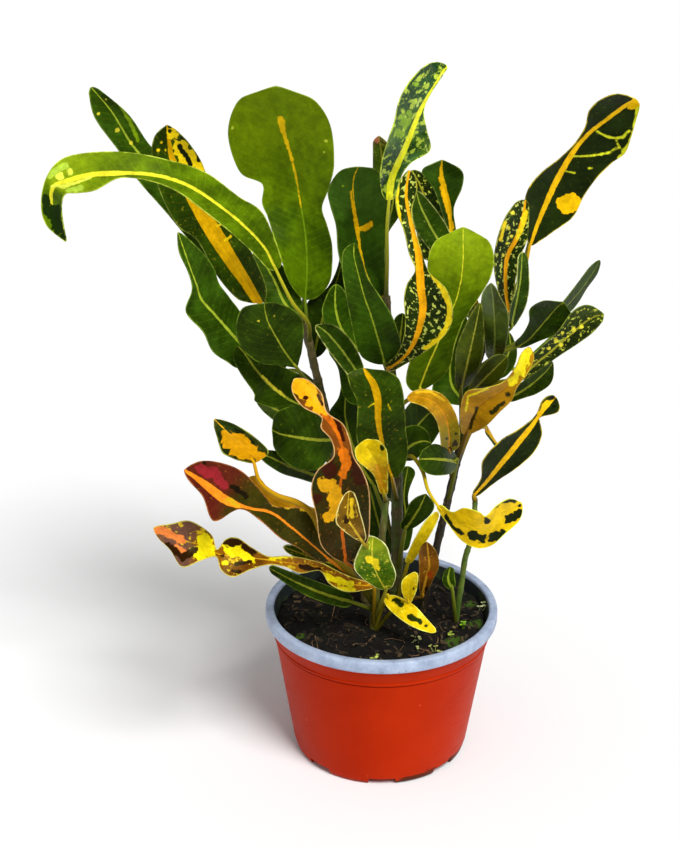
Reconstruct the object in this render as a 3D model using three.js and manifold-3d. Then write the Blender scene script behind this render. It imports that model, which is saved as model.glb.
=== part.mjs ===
// A potted croton: a two-colour plastic nursery pot, its potting mix and five leafy shoots.
//
// Millimetres, +Z up. The origin is the middle of the pot's underside, and the plant's face is
// seen along +Y. The stems and leaves are laid out on that view as [column, row, depth] points:
// column and row are the place in the 680 x 850 view, and depth is the point's Y. The view's own
// geometry turns them into X, Y and Z.

import * as THREE from "three";
import { mergeVertices } from "three/addons/utils/BufferGeometryUtils.js";
import Module from "manifold-3d";

const wasm = await Module();
wasm.setup();

// ---------------------------------------------------------------- driving dimensions

const RIM_RADIUS = 70;
const POT_HEIGHT = 93.7;
const BASE_RADIUS = 53;
const WALL = 1.6;
const LIP_WIDTH = 5;
const LIP_DEPTH = 7.4;
const STACKING_RING_DROP = 17;
const BASE_CORNER = 6;
const FOOT_RISE = 2.4;
const FOOT_INNER_RADIUS = 41;
const CENTRE_BOSS_RADIUS = 15;
const DRAIN_HOLES = 6;
const DRAIN_HOLE_RADIUS = 4;
const DRAIN_RING_RADIUS = 29;
const HOLE_SIDES = 12;
const FOOT_NOTCHES = 8;
const NOTCH_LENGTH = 16;
const NOTCH_WIDTH = 15;
const NOTCH_HEIGHT = 6;
const FLOOR_TOP = FOOT_RISE + 2;
const FLOOR_CORNER = 6;
const FLOOR_INSET = 4;
const UNDER_LIP = 4;
const LIP_STEP = 1;
const RING_BAND = 2;
const RING_PROUD = 0.6;
const RING_GROOVE = 1;
const EDGE_ROUND = 1.2;
const POT_SIDES = 32;

const SOIL_TOP = 85;
const SOIL_GAP = 0.4;
const SOIL_BUMP = 1.1;
const SOIL_SIDES = 28;
const SOIL_EDGE_DIP = 1.5;
const SOIL_SHOULDER = 6;
const STEM_FOOT = 62;
const HOLE_GAP = 0.7;

const BLADE_THICKNESS = 0.8;
const RIB_THICKNESS = 1.3;
const STALK_WIDTH = 2.6;
const STALK_SIDES = 3;
const STALK_END_RADIUS = 0.7;
const ROD_POINT = 0.6;
const STEM_SIDES = 6;
const COLLAR_RISE = 4;
const SINK = 0.45;
const RIPPLE_BREADTH = 9;
const RIPPLE_SHIFT = 2.1;
const BROAD_LEAF = 26;
const PIXEL_MM = 0.58;

// ---------------------------------------------------------------- the view of the plant

const VIEW_EYE = new THREE.Vector3(-25, -787, 530);
const VIEW_PITCH = THREE.MathUtils.degToRad(22.14);
const VIEW_FOCAL = 1476;
const VIEW_COLUMN = 340;
const VIEW_ROW = 425;

const forward = new THREE.Vector3(0, Math.cos(VIEW_PITCH), -Math.sin(VIEW_PITCH));
const upward = new THREE.Vector3(0, Math.sin(VIEW_PITCH), Math.cos(VIEW_PITCH));
const rightward = new THREE.Vector3(1, 0, 0);

function seen([column, row, depth]) {
  const ray = forward.clone();
  ray.addScaledVector(rightward, (column - VIEW_COLUMN) / VIEW_FOCAL);
  ray.addScaledVector(upward, (VIEW_ROW - row) / VIEW_FOCAL);
  return VIEW_EYE.clone().addScaledVector(ray, (depth - VIEW_EYE.y) / ray.y);
}

// ---------------------------------------------------------------- the shoots' stems
// foot: where the stem stands in the mix [x, y]; path: the rest of it on the view.

const STEMS = {
  "left_shoot": {
    "foot": [-9, 13], "radii": [3.4, 2.2],
    "path": [[362, 560, 14], [352, 520, 12], [338, 470, 12], [325, 410, 12], [313, 360, 12],
      [305, 322, 12]],
    "colour": "#4a5a22"
  },
  "centre_shoot": {
    "foot": [8, 3], "radii": [4.2, 2.4],
    "path": [[397, 560, 4], [397, 500, 4], [397, 440, 6], [393, 390, 8], [388, 340, 11], [386, 296, 13]],
    "colour": "#6b7f1e"
  },
  "right_shoot": {
    "foot": [25, 1], "radii": [2.6, 2.0],
    "path": [[437, 545, 0], [446, 508, 0], [455, 470, 0], [462, 435, 0], [469, 400, 2],
      [479, 360, 5], [491, 326, 8]],
    "colour": "#39491a"
  },
  "front_shoot": {
    "foot": [-5, -17], "radii": [2.6, 1.9],
    "path": [[378, 570, -17], [381, 545, -17], [384, 520, -16], [386, 500, -15]],
    "colour": "#a8641c"
  },
  "small_shoot": {
    "foot": [45, -10], "radii": [1.9, 1.5],
    "path": [[465, 560, -11], [471, 540, -12], [474, 518, -14], [475, 500, -16]],
    "colour": "#5d4a16"
  }
};

// ---------------------------------------------------------------- the leaves
// at: the place on the stem, 0 at its foot and 1 at its top. stalk: the bare stalk's bends.
// left, rib and right: the blade's two edges and its midrib on the view, from base to tip, with
// the midrib's depth. cup: how far the edges stand towards the viewer, in mm. tilt: turn of the
// blade about its rib, as depth over breadth. wave: the edges' [height in mm, waves, phase].

const LEAVES = [
  {"name": "far_left_dark", "stem": "left_shoot", "at": 1.0, "look": "dark",
   "stalk": [[275, 306, 18]],
   "left": [[243, 292], [205, 258], [165, 211], [138, 180], [118, 150], [95, 118], [88, 90]],
   "rib": [[250, 295, 26], [220, 258, 38], [180, 205, 46], [155, 172, 48], [131, 143, 46],
     [112, 112, 40], [91, 87, 34]],
   "right": [[257, 290], [235, 250], [198, 200], [172, 168], [149, 144], [128, 114], [95, 86]],
   "cup": 3, "tilt": [0.3, 0.5, 0.4], "wave": [0.8, 3, 0.0]},
  {"name": "left_orange_rib", "stem": "left_shoot", "at": 0.97, "look": "orange_rib",
   "stalk": [[280, 312, 10]],
   "left": [[246, 305], [232, 294], [216, 274], [197, 240], [178, 226], [160, 192], [152, 158],
     [154, 138], [164, 126]],
   "rib": [[259, 303, 14], [245, 280, 17], [230, 258, 19], [211, 228, 21], [196, 204, 21],
     [182, 180, 20], [172, 158, 18], [169, 142, 16], [167, 125, 13]],
   "right": [[270, 303], [263, 277], [250, 250], [232, 222], [218, 198], [208, 178], [201, 161],
     [188, 142], [172, 126]],
   "cup": 4, "tilt": [-0.2, 0.3, 0.4], "wave": [1.0, 3, 1.0]},
  {"name": "left_arching", "stem": "left_shoot", "at": 0.93, "look": "bright",
   "stalk": [[308, 323, 2], [292, 302, -2]],
   "left": [[270, 272], [252, 252], [230, 232], [205, 212], [178, 192], [150, 181], [120, 178],
     [96, 190], [78, 193], [66, 194], [62, 204], [63, 220], [67, 241]],
   "rib": [[276, 270, -5], [264, 247, -10], [241, 223, -16], [217, 204, -22], [190, 187, -27],
     [160, 177, -32], [125, 174, -36], [92, 175, -39], [66, 182, -41], [53, 188, -42], [52, 203, -42],
     [55, 220, -42], [66, 242, -41]],
   "right": [[284, 266], [276, 243], [262, 212], [238, 196], [205, 172], [165, 159], [125, 152],
     [85, 153], [60, 160], [46, 178], [41, 203], [46, 225], [65, 242]],
   "cup": 2, "tilt": [0.2, 0.7, 0.7, 0.1], "wave": [0.9, 4, 0.5]},
  {"name": "tall_spoon", "stem": "left_shoot", "at": 0.99, "look": "olive",
   "stalk": [[306, 314, 16]],
   "left": [[289, 292], [283, 265], [274, 238], [268, 218], [262, 203], [262, 184], [240, 172],
     [228, 135], [236, 104], [256, 89]],
   "rib": [[305, 300, 20], [307, 270, 23], [306, 240, 26], [303, 218, 28], [300, 200, 30],
     [296, 182, 30], [292, 160, 28], [286, 132, 24], [280, 106, 17], [276, 86, 8]],
   "right": [[328, 300], [332, 270], [332, 245], [327, 225], [322, 208], [328, 190], [334, 165],
     [331, 128], [318, 104], [298, 90]],
   "cup": 4, "tilt": [0.3, -0.2, -0.3], "wave": [1.2, 3, 0.0]},
  {"name": "left_green", "stem": "left_shoot", "at": 0.74, "look": "green",
   "stalk": [[290, 392, -4], [268, 378, -10]],
   "left": [[243, 376], [230, 364], [213, 352], [203, 332], [186, 312], [192, 290], [188, 272],
     [179, 252], [177, 234]],
   "rib": [[252, 362, -16], [243, 347, -21], [230, 332, -26], [215, 315, -30], [201, 299, -33],
     [196, 284, -35], [190, 268, -36], [184, 250, -36], [178, 232, -34]],
   "right": [[262, 350], [250, 332], [241, 313], [230, 298], [219, 283], [214, 268], [204, 254],
     [192, 242], [180, 232]],
   "cup": 3, "tilt": [0.2, 0.5, 0.3], "wave": [1.2, 4, 0.8]},
  {"name": "left_dark_round", "stem": "left_shoot", "at": 0.8, "look": "dark",
   "stalk": [[306, 380, -4]],
   "left": [[284, 366], [258, 362], [240, 345], [236, 325], [243, 308], [262, 303]],
   "rib": [[297, 368, -26], [285, 352, -34], [276, 337, -39], [268, 322, -42], [265, 311, -43],
     [264, 303, -43]],
   "right": [[300, 360], [303, 342], [303, 324], [295, 311], [280, 304], [266, 302]],
   "cup": 4, "tilt": [0.2, 0.3], "wave": [1.0, 3, 0.4]},
  {"name": "left_dark_low", "stem": "left_shoot", "at": 0.68, "look": "dark",
   "stalk": [[318, 414, 0]],
   "left": [[296, 410], [275, 408], [256, 402], [254, 393], [241, 374], [233, 358], [234, 347]],
   "rib": [[306, 407, -8], [290, 400, -14], [273, 388, -19], [260, 375, -23], [251, 363, -25],
     [245, 354, -26], [238, 346, -26]],
   "right": [[314, 398], [304, 378], [290, 370], [275, 363], [262, 355], [252, 349], [242, 346]],
   "cup": 3, "tilt": [0.4, 0.4], "wave": [1.0, 3, 1.4]},
  {"name": "left_dark_droop", "stem": "left_shoot", "at": 0.58, "look": "dark",
   "stalk": [],
   "left": [[333, 458], [315, 470], [295, 468], [281, 458], [274, 447], [272, 437]],
   "rib": [[336, 440, -10], [318, 440, -22], [302, 438, -30], [290, 436, -35], [280, 434, -38],
     [272, 430, -39]],
   "right": [[332, 424], [320, 412], [303, 405], [288, 407], [276, 413], [271, 424]],
   "cup": 4, "tilt": [0.5, 0.5], "wave": [1.0, 3, 0.0]},
  {"name": "left_low_dark", "stem": "left_shoot", "at": 0.46, "look": "dark",
   "stalk": [],
   "left": [[322, 486], [300, 479], [283, 474], [268, 465], [258, 456]],
   "rib": [[326, 479, -10], [305, 472, -24], [288, 466, -36], [272, 458, -44], [258, 453, -48]],
   "right": [[330, 470], [308, 464], [292, 458], [276, 451], [259, 450]],
   "cup": 2, "tilt": [0.5, 0.5], "wave": [0.6, 3, 0.0]},
  {"name": "back_left_high", "stem": "left_shoot", "at": 0.95, "look": "green",
   "stalk": [[285, 308, 28]],
   "left": [[262, 304], [238, 272], [216, 240], [203, 214]],
   "rib": [[268, 300, 39], [245, 266, 53], [225, 235, 62], [206, 211, 67]],
   "right": [[274, 296], [255, 260], [234, 230], [210, 209]],
   "cup": 3, "tilt": [-0.4, -0.4], "wave": [1.0, 3, 0.3]},
  {"name": "back_left_spoon", "stem": "left_shoot", "at": 0.98, "look": "olive",
   "stalk": [[304, 298, 28]],
   "left": [[296, 278], [285, 240], [276, 200], [264, 160], [272, 124]],
   "rib": [[303, 278, 38], [299, 240, 49], [295, 200, 58], [291, 160, 63], [286, 122, 66]],
   "right": [[310, 278], [314, 240], [313, 200], [318, 160], [300, 124]],
   "cup": -4, "tilt": [0.3, 0.3], "wave": [1.0, 3, 0.6]},
  {"name": "back_left_side", "stem": "left_shoot", "at": 0.8, "look": "dark",
   "stalk": [[300, 372, 26]],
   "left": [[278, 376], [250, 352], [228, 332], [208, 306]],
   "rib": [[284, 370, 38], [258, 346, 53], [236, 324, 63], [212, 302, 68]],
   "right": [[290, 362], [268, 334], [246, 315], [216, 299]],
   "cup": -3, "tilt": [-0.5, -0.5], "wave": [1.0, 3, 0.9]},
  {"name": "back_left_low", "stem": "left_shoot", "at": 0.6, "look": "dark",
   "stalk": [[320, 450, 26]],
   "left": [[306, 462], [292, 458], [284, 444], [282, 428]],
   "rib": [[310, 448, 41], [300, 440, 55], [292, 430, 67], [286, 420, 74]],
   "right": [[312, 434], [306, 422], [300, 416], [292, 414]],
   "cup": -3, "tilt": [-0.5, -0.5], "wave": [1.0, 3, 1.2]},
  {"name": "back_left_base", "stem": "left_shoot", "at": 0.36, "look": "yellow_dark",
   "stalk": [[350, 530, 26]],
   "left": [[336, 530], [328, 514], [322, 498], [324, 482]],
   "rib": [[342, 524, 38], [338, 506, 54], [334, 490, 65], [332, 476, 73]],
   "right": [[350, 520], [348, 502], [346, 486], [340, 474]],
   "cup": -3, "tilt": [-0.4, -0.4], "wave": [0.8, 3, 0.1]},
  {"name": "left_inner", "stem": "left_shoot", "at": 0.94, "look": "green",
   "stalk": [],
   "left": [[294, 330], [272, 312], [262, 292], [254, 270], [252, 252]],
   "rib": [[302, 326, 16], [284, 302, 20], [275, 282, 24], [265, 264, 27], [254, 249, 29]],
   "right": [[308, 318], [300, 296], [290, 276], [277, 260], [258, 248]],
   "cup": 2, "tilt": [0.3, 0.3], "wave": [0.8, 3, 0.2]},
  {"name": "left_inner_tall", "stem": "left_shoot", "at": 0.88, "look": "dark",
   "stalk": [],
   "left": [[306, 352], [303, 328], [308, 302], [328, 287], [339, 262], [339, 238]],
   "rib": [[313, 358, 22], [318, 335, 26], [326, 308, 31], [336, 282, 36], [342, 258, 40],
     [342, 236, 43]],
   "right": [[322, 358], [331, 338], [342, 312], [347, 288], [346, 260], [345, 236]],
   "cup": 2, "tilt": [0.3, 0.3], "wave": [0.7, 3, 0.5]},
  {"name": "left_inner_low", "stem": "left_shoot", "at": 0.62, "look": "dark",
   "stalk": [],
   "left": [[300, 430], [280, 424], [266, 414], [256, 403]],
   "rib": [[304, 420, 14], [286, 414, 17], [271, 407, 19], [256, 400, 20]],
   "right": [[306, 410], [290, 401], [273, 396], [258, 396]],
   "cup": 2, "tilt": [0.4, 0.4], "wave": [0.6, 3, 0.9]},
  {"name": "dark_spoon", "stem": "centre_shoot", "at": 1.0, "look": "dark",
   "stalk": [],
   "left": [[362, 300], [345, 276], [338, 252], [336, 226], [330, 205], [328, 190], [337, 174],
     [349, 166]],
   "rib": [[378, 300, 14], [366, 276, 18], [360, 250, 21], [358, 228, 22], [355, 208, 21],
     [353, 190, 18], [354, 177, 14], [358, 167, 8]],
   "right": [[391, 300], [387, 276], [385, 250], [390, 224], [389, 205], [386, 186], [379, 172],
     [368, 166]],
   "cup": 4, "tilt": [0.3, -0.2], "wave": [1.0, 3, 0.2]},
  {"name": "plain_strap", "stem": "centre_shoot", "at": 0.8, "look": "green",
   "stalk": [],
   "left": [[368, 366], [357, 348], [351, 322], [346, 296], [342, 270], [343, 252], [351, 243]],
   "rib": [[385, 364, -10], [379, 342, -20], [372, 318, -27], [364, 295, -32], [358, 272, -35],
     [354, 256, -36], [354, 243, -35]],
   "right": [[401, 360], [400, 340], [393, 318], [381, 298], [368, 278], [362, 260], [357, 243]],
   "cup": 3, "tilt": [-0.3, 0.2], "wave": [0.9, 3, 0.9]},
  {"name": "top_twisted", "stem": "centre_shoot", "at": 1.0, "look": "glossy",
   "stalk": [[387, 262, 11], [387, 228, 8]],
   "left": [[383, 200], [380, 180], [382, 160], [388, 140], [394, 122], [398, 104], [404, 90],
     [413, 77], [428, 64], [443, 61]],
   "rib": [[389, 200, 5], [391, 180, 2], [398, 162, -2], [406, 145, -5], [413, 127, -7], [421, 108, -8],
     [429, 94, -8], [436, 83, -7], [442, 73, -4], [447, 66, 0]],
   "right": [[396, 200], [400, 180], [410, 164], [430, 150], [427, 130], [424, 110], [432, 92],
     [439, 81], [444, 74], [448, 68]],
   "cup": 3, "tilt": [0.2, 0.8, 0.5, 0.2], "wave": [1.0, 4, 0.0]},
  {"name": "small_top", "stem": "centre_shoot", "at": 0.98, "look": "pink",
   "stalk": [[384, 278, 22]],
   "left": [[379, 250], [376, 215], [373, 185], [373, 160], [373, 138]],
   "rib": [[383, 250, 27], [383, 215, 30], [384, 185, 30], [382, 160, 28], [379, 136, 22]],
   "right": [[387, 250], [389, 215], [394, 185], [395, 163], [386, 139]],
   "cup": 2, "tilt": [0.5, 0.3], "wave": [0.5, 3, 0]},
  {"name": "speckled_curl", "stem": "centre_shoot", "at": 0.76, "look": "speckled",
   "stalk": [],
   "left": [[384, 366], [398, 352], [404, 335], [405, 318], [404, 298], [407, 284], [415, 270],
     [409, 254], [404, 232], [397, 212], [396, 194], [403, 173]],
   "rib": [[388, 369, -12], [404, 357, -24], [414, 342, -31], [420, 325, -36], [423, 308, -38],
     [421, 290, -38], [420, 270, -35], [418, 250, -31], [413, 230, -26], [408, 210, -21],
     [406, 192, -17], [409, 170, -13]],
   "right": [[392, 372], [412, 360], [432, 347], [448, 331], [453, 312], [446, 289], [429, 272],
     [421, 250], [415, 230], [412, 210], [417, 190], [415, 172]],
   "cup": 3, "tilt": [0.2, -0.3, 0.4], "wave": [0.8, 4, 0.0]},
  {"name": "round_spoon", "stem": "centre_shoot", "at": 0.7, "look": "bright",
   "stalk": [],
   "left": [[405, 392], [407, 372], [413, 352], [422, 330], [430, 305], [428, 280], [428, 260],
     [434, 243], [449, 230]],
   "rib": [[418, 392, -8], [427, 368, -14], [437, 345, -18], [447, 322, -20], [456, 300, -21],
     [461, 280, -21], [463, 260, -20], [463, 243, -17], [463, 227, -12]],
   "right": [[436, 386], [450, 366], [455, 344], [464, 320], [480, 296], [491, 276], [494, 258],
     [490, 243], [477, 230]],
   "cup": 3, "tilt": [-0.2, 0.2], "wave": [1.0, 3, 0.0]},
  {"name": "front_orange_rib", "stem": "centre_shoot", "at": 0.5, "look": "orange_rib",
   "stalk": [],
   "left": [[380, 480], [366, 462], [357, 440], [357, 420], [357, 402], [350, 386], [348, 374],
     [356, 368]],
   "rib": [[392, 478, -22], [386, 458, -32], [381, 438, -40], [378, 418, -45], [378, 400, -48],
     [374, 385, -49], [368, 375, -48], [364, 368, -46]],
   "right": [[402, 476], [408, 452], [406, 430], [405, 410], [403, 392], [398, 378], [386, 371],
     [373, 368]],
   "cup": 3, "tilt": [0.2, -0.2], "wave": [1.0, 3, 0.4]},
  {"name": "pale_edged_upper", "stem": "centre_shoot", "at": 0.82, "look": "green",
   "stalk": [],
   "left": [[350, 352], [328, 330], [322, 312], [326, 297], [332, 285]],
   "rib": [[358, 350, 8], [342, 330, 8], [336, 312, 9], [335, 297, 10], [336, 284, 11]],
   "right": [[362, 342], [354, 325], [351, 310], [347, 296], [340, 284]],
   "cup": 2, "tilt": [0.3, 0.3], "wave": [0.6, 3, 0]},
  {"name": "pale_edged_lower", "stem": "centre_shoot", "at": 0.72, "look": "pale_edge",
   "stalk": [[378, 388, -2]],
   "left": [[356, 385], [342, 368], [328, 350], [318, 335], [314, 327]],
   "rib": [[362, 380, -8], [349, 360, -12], [337, 344, -15], [326, 332, -17], [316, 325, -18]],
   "right": [[366, 372], [358, 352], [349, 338], [336, 326], [320, 323]],
   "cup": 2, "tilt": [0.2, 0.4], "wave": [0.6, 3, 0]},
  {"name": "small_dark_centre", "stem": "centre_shoot", "at": 0.54, "look": "dark",
   "stalk": [],
   "left": [[398, 440], [403, 429], [416, 425], [427, 431], [431, 441]],
   "rib": [[400, 455, -8], [408, 448, -12], [416, 443, -15], [424, 441, -16], [431, 443, -16]],
   "right": [[404, 465], [414, 460], [422, 455], [429, 451], [432, 446]],
   "cup": 3, "tilt": [-0.4, -0.4], "wave": [0.5, 2, 0]},
  {"name": "low_dark_round", "stem": "centre_shoot", "at": 0.34, "look": "dark",
   "stalk": [],
   "left": [[398, 528], [405, 515], [410, 503], [420, 494]],
   "rib": [[405, 530, -8], [414, 517, -14], [421, 505, -18], [426, 494, -20]],
   "right": [[412, 530], [427, 518], [434, 508], [432, 498]],
   "cup": 3, "tilt": [-0.4, -0.4], "wave": [0.5, 2, 0]},
  {"name": "low_narrow", "stem": "centre_shoot", "at": 0.23, "look": "yellow",
   "stalk": [],
   "left": [[404, 562], [414, 540], [426, 520], [436, 511]],
   "rib": [[408, 563, -10], [419, 543, -16], [430, 523, -20], [438, 512, -22]],
   "right": [[412, 563], [424, 545], [435, 526], [440, 514]],
   "cup": 1, "tilt": [0.5, 0.5], "wave": [0.2, 2, 0]},
  {"name": "low_mustard", "stem": "centre_shoot", "at": 0.2, "look": "maroon",
   "stalk": [[412, 600, -6]],
   "left": [[420, 596], [419, 582], [419, 565], [419, 552], [424, 542]],
   "rib": [[422, 597, -14], [425, 582, -20], [429, 566, -24], [428, 553, -26], [427, 542, -27]],
   "right": [[424, 596], [433, 580], [439, 566], [437, 553], [430, 543]],
   "cup": 3, "tilt": [0.3, 0.3], "wave": [0.5, 2, 0]},
  {"name": "yellow_curl", "stem": "centre_shoot", "at": 0.56, "look": "yellow_dark",
   "stalk": [[410, 456, -14], [422, 470, -28], [428, 490, -37]],
   "left": [[441, 504], [452, 512], [464, 508], [479, 512], [486, 516], [496, 506], [508, 499],
     [519, 500]],
   "rib": [[438, 506, -42], [450, 518, -48], [463, 526, -52], [477, 531, -54], [490, 528, -54],
     [501, 519, -53], [513, 509, -51], [522, 503, -48]],
   "right": [[436, 508], [448, 524], [461, 540], [477, 548], [492, 545], [506, 533], [519, 521],
     [524, 508]],
   "cup": 3, "tilt": [0.5, 0.7, 0.5], "wave": [0.6, 4, 0]},
  {"name": "back_centre_high", "stem": "centre_shoot", "at": 0.97, "look": "green",
   "stalk": [[380, 292, 26]],
   "left": [[366, 276], [354, 250], [346, 222], [350, 194]],
   "rib": [[372, 274, 37], [364, 248, 48], [359, 220, 55], [358, 192, 59]],
   "right": [[378, 272], [375, 246], [374, 220], [368, 194]],
   "cup": -3, "tilt": [0.4, 0.4], "wave": [0.9, 3, 0.3]},
  {"name": "back_centre_arch", "stem": "centre_shoot", "at": 0.76, "look": "bright",
   "stalk": [[382, 358, 26]],
   "left": [[366, 346], [356, 326], [354, 316], [358, 324], [368, 348]],
   "rib": [[373, 344, 43], [368, 322, 60], [368, 312, 76], [371, 320, 90], [376, 346, 99]],
   "right": [[382, 342], [382, 320], [384, 314], [386, 324], [384, 346]],
   "cup": -3, "tilt": [0.2, 0.3], "wave": [0.9, 3, 0.5]},
  {"name": "back_centre_low", "stem": "centre_shoot", "at": 0.5, "look": "orange_rib",
   "stalk": [[386, 440, 23]],
   "left": [[370, 438], [360, 420], [362, 404], [364, 390]],
   "rib": [[378, 434, 39], [374, 416, 55], [372, 401, 68], [372, 386, 76]],
   "right": [[388, 432], [390, 414], [388, 399], [382, 386]],
   "cup": -3, "tilt": [0.3, 0.3], "wave": [1.0, 3, 0.8]},
  {"name": "back_centre_base", "stem": "centre_shoot", "at": 0.36, "look": "dark",
   "stalk": [[394, 506, 23]],
   "left": [[380, 500], [374, 484], [376, 468]],
   "rib": [[386, 500, 37], [383, 482, 53], [382, 466, 63]],
   "right": [[392, 500], [393, 482], [389, 467]],
   "cup": -2, "tilt": [0.3, 0.3], "wave": [0.7, 3, 0.8]},
  {"name": "centre_inner_dark", "stem": "centre_shoot", "at": 0.4, "look": "dark",
   "stalk": [],
   "left": [[362, 490], [346, 464], [334, 438], [329, 414], [339, 396], [343, 370]],
   "rib": [[374, 486, 16], [360, 462, 20], [350, 436, 24], [345, 412, 28], [347, 388, 32],
     [349, 368, 35]],
   "right": [[382, 476], [373, 450], [365, 425], [360, 405], [358, 385], [353, 368]],
   "cup": 2, "tilt": [-0.3, -0.3], "wave": [0.8, 3, 0.3]},
  {"name": "centre_inner_band", "stem": "centre_shoot", "at": 0.68, "look": "green",
   "stalk": [],
   "left": [[356, 410], [343, 394], [338, 368], [326, 350]],
   "rib": [[366, 402, 12], [352, 384, 17], [341, 360, 23], [331, 346, 27]],
   "right": [[374, 396], [361, 376], [349, 354], [336, 342]],
   "cup": 1, "tilt": [-0.3, -0.3], "wave": [0.5, 3, 0.3]},
  {"name": "centre_inner_top", "stem": "centre_shoot", "at": 0.96, "look": "dark",
   "stalk": [[380, 288, 22]],
   "left": [[371, 268], [372, 240], [380, 212], [388, 194], [393, 180]],
   "rib": [[377, 268, 27], [382, 240, 31], [390, 215, 35], [394, 196, 38], [396, 179, 40]],
   "right": [[382, 266], [387, 236], [399, 216], [402, 196], [400, 181]],
   "cup": 2, "tilt": [0.3, 0.3], "wave": [0.7, 3, 0.7]},
  {"name": "centre_inner_right", "stem": "centre_shoot", "at": 0.7, "look": "dark",
   "stalk": [],
   "left": [[388, 368], [391, 348], [392, 328], [397, 313]],
   "rib": [[394, 370, 15], [398, 350, 18], [401, 330, 21], [403, 313, 23]],
   "right": [[401, 368], [407, 350], [409, 332], [408, 316]],
   "cup": 1, "tilt": [0.3, 0.3], "wave": [0.5, 3, 0.1]},
  {"name": "centre_inner_low", "stem": "centre_shoot", "at": 0.52, "look": "dark",
   "stalk": [],
   "left": [[398, 436], [402, 416], [414, 400], [432, 397]],
   "rib": [[403, 446, 20], [414, 430, 24], [426, 416, 28], [440, 405, 31]],
   "right": [[408, 454], [428, 447], [440, 430], [446, 411]],
   "cup": 2, "tilt": [0.4, 0.4], "wave": [0.6, 3, 0.6]},
  {"name": "low_inner", "stem": "centre_shoot", "at": 0.24, "look": "dark",
   "stalk": [],
   "left": [[397, 546], [399, 520], [399, 492], [400, 466]],
   "rib": [[402, 550, 14], [406, 522, 18], [404, 493, 22], [408, 466, 25]],
   "right": [[408, 552], [413, 526], [408, 496], [418, 468]],
   "cup": 1, "tilt": [0.3, 0.3], "wave": [0.5, 3, 0.2]},
  {"name": "low_inner_left", "stem": "centre_shoot", "at": 0.2, "look": "dark",
   "stalk": [],
   "left": [[381, 560], [368, 530], [360, 497], [358, 466]],
   "rib": [[389, 556, 14], [379, 524, 19], [371, 492, 24], [367, 462, 27]],
   "right": [[395, 550], [389, 516], [383, 486], [376, 460]],
   "cup": 2, "tilt": [-0.3, -0.3], "wave": [0.7, 3, 0.4]},
  {"name": "far_right_dark", "stem": "right_shoot", "at": 1.0, "look": "vein_dark",
   "stalk": [[508, 318, 10], [519, 288, 13], [526, 264, 15]],
   "left": [[528, 243], [523, 220], [527, 192], [540, 174], [560, 158], [575, 143], [585, 127],
     [589, 111], [600, 100], [616, 94], [634, 97]],
   "rib": [[530, 245, 16], [537, 225, 17], [546, 203, 17], [556, 181, 16], [567, 161, 14],
     [579, 143, 12], [592, 130, 10], [604, 121, 7], [616, 112, 4], [626, 105, 1], [637, 100, -2]],
   "right": [[533, 246], [553, 232], [573, 217], [584, 196], [596, 179], [612, 163], [625, 153],
     [631, 138], [636, 121], [639, 110], [640, 102]],
   "cup": 4, "tilt": [0.4, 0.2, 0.3], "wave": [1.0, 4, 0.0]},
  {"name": "right_mottled", "stem": "right_shoot", "at": 0.97, "look": "speckled",
   "stalk": [],
   "left": [[506, 314], [499, 294], [495, 276], [494, 258], [498, 236], [506, 216], [519, 198]],
   "rib": [[509, 316, 2], [506, 296, -4], [505, 276, -8], [507, 256, -10], [516, 238, -11],
     [522, 220, -11], [525, 200, -9]],
   "right": [[512, 316], [514, 297], [516, 278], [520, 258], [527, 240], [529, 220], [529, 200]],
   "cup": 3, "tilt": [0.5, 0.6], "wave": [0.7, 3, 0.7]},
  {"name": "right_brown_twist", "stem": "right_shoot", "at": 0.93, "look": "maroon",
   "stalk": [[500, 336, -6]],
   "left": [[508, 326], [510, 308], [516, 288], [517, 270], [518, 254]],
   "rib": [[511, 328, -12], [515, 308, -18], [519, 288, -21], [521, 270, -22], [522, 252, -22]],
   "right": [[515, 326], [525, 308], [529, 290], [529, 272], [527, 252]],
   "cup": 2, "tilt": [0.6, 0.8], "wave": [0.5, 3, 0]},
  {"name": "right_dark_spoon", "stem": "right_shoot", "at": 0.74, "look": "dark",
   "stalk": [[482, 369, -8], [500, 354, -14]],
   "left": [[513, 343], [522, 335], [529, 322], [530, 309], [543, 301], [558, 301]],
   "rib": [[517, 347, -18], [528, 340, -22], [539, 328, -26], [550, 315, -29], [558, 306, -31],
     [564, 302, -32]],
   "right": [[521, 349], [537, 342], [554, 335], [566, 325], [571, 315], [568, 306]],
   "cup": 3, "tilt": [0.3, 0.4], "wave": [0.8, 3, 0.2]},
  {"name": "right_edge_on", "stem": "right_shoot", "at": 0.86, "look": "glossy",
   "stalk": [[510, 346, 2]],
   "left": [[534, 336], [558, 308], [577, 284], [589, 268], [598, 260]],
   "rib": [[540, 334, 2], [565, 308, 4], [582, 288, 6], [593, 272, 7], [600, 260, 7]],
   "right": [[546, 332], [573, 309], [587, 288], [597, 274], [601, 262]],
   "cup": 1, "tilt": [1.2, 1.6, 1.2], "wave": [0.5, 3, 0]},
  {"name": "right_blotched", "stem": "right_shoot", "at": 0.7, "look": "blotched",
   "stalk": [[492, 386, -14]],
   "left": [[513, 377], [527, 360], [543, 345], [558, 331], [572, 312], [586, 305], [600, 309]],
   "rib": [[517, 380, -26], [534, 365, -32], [551, 351, -36], [567, 337, -39], [581, 325, -41],
     [593, 317, -42], [604, 314, -42]],
   "right": [[521, 382], [541, 369], [559, 356], [576, 345], [590, 335], [600, 325], [605, 318]],
   "cup": 3, "tilt": [0.3, 0.5], "wave": [0.8, 3, 0.6]},
  {"name": "right_teal", "stem": "right_shoot", "at": 0.66, "look": "dark",
   "stalk": [[488, 401, -6]],
   "left": [[503, 395], [517, 386], [532, 374], [545, 363], [551, 360]],
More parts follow.
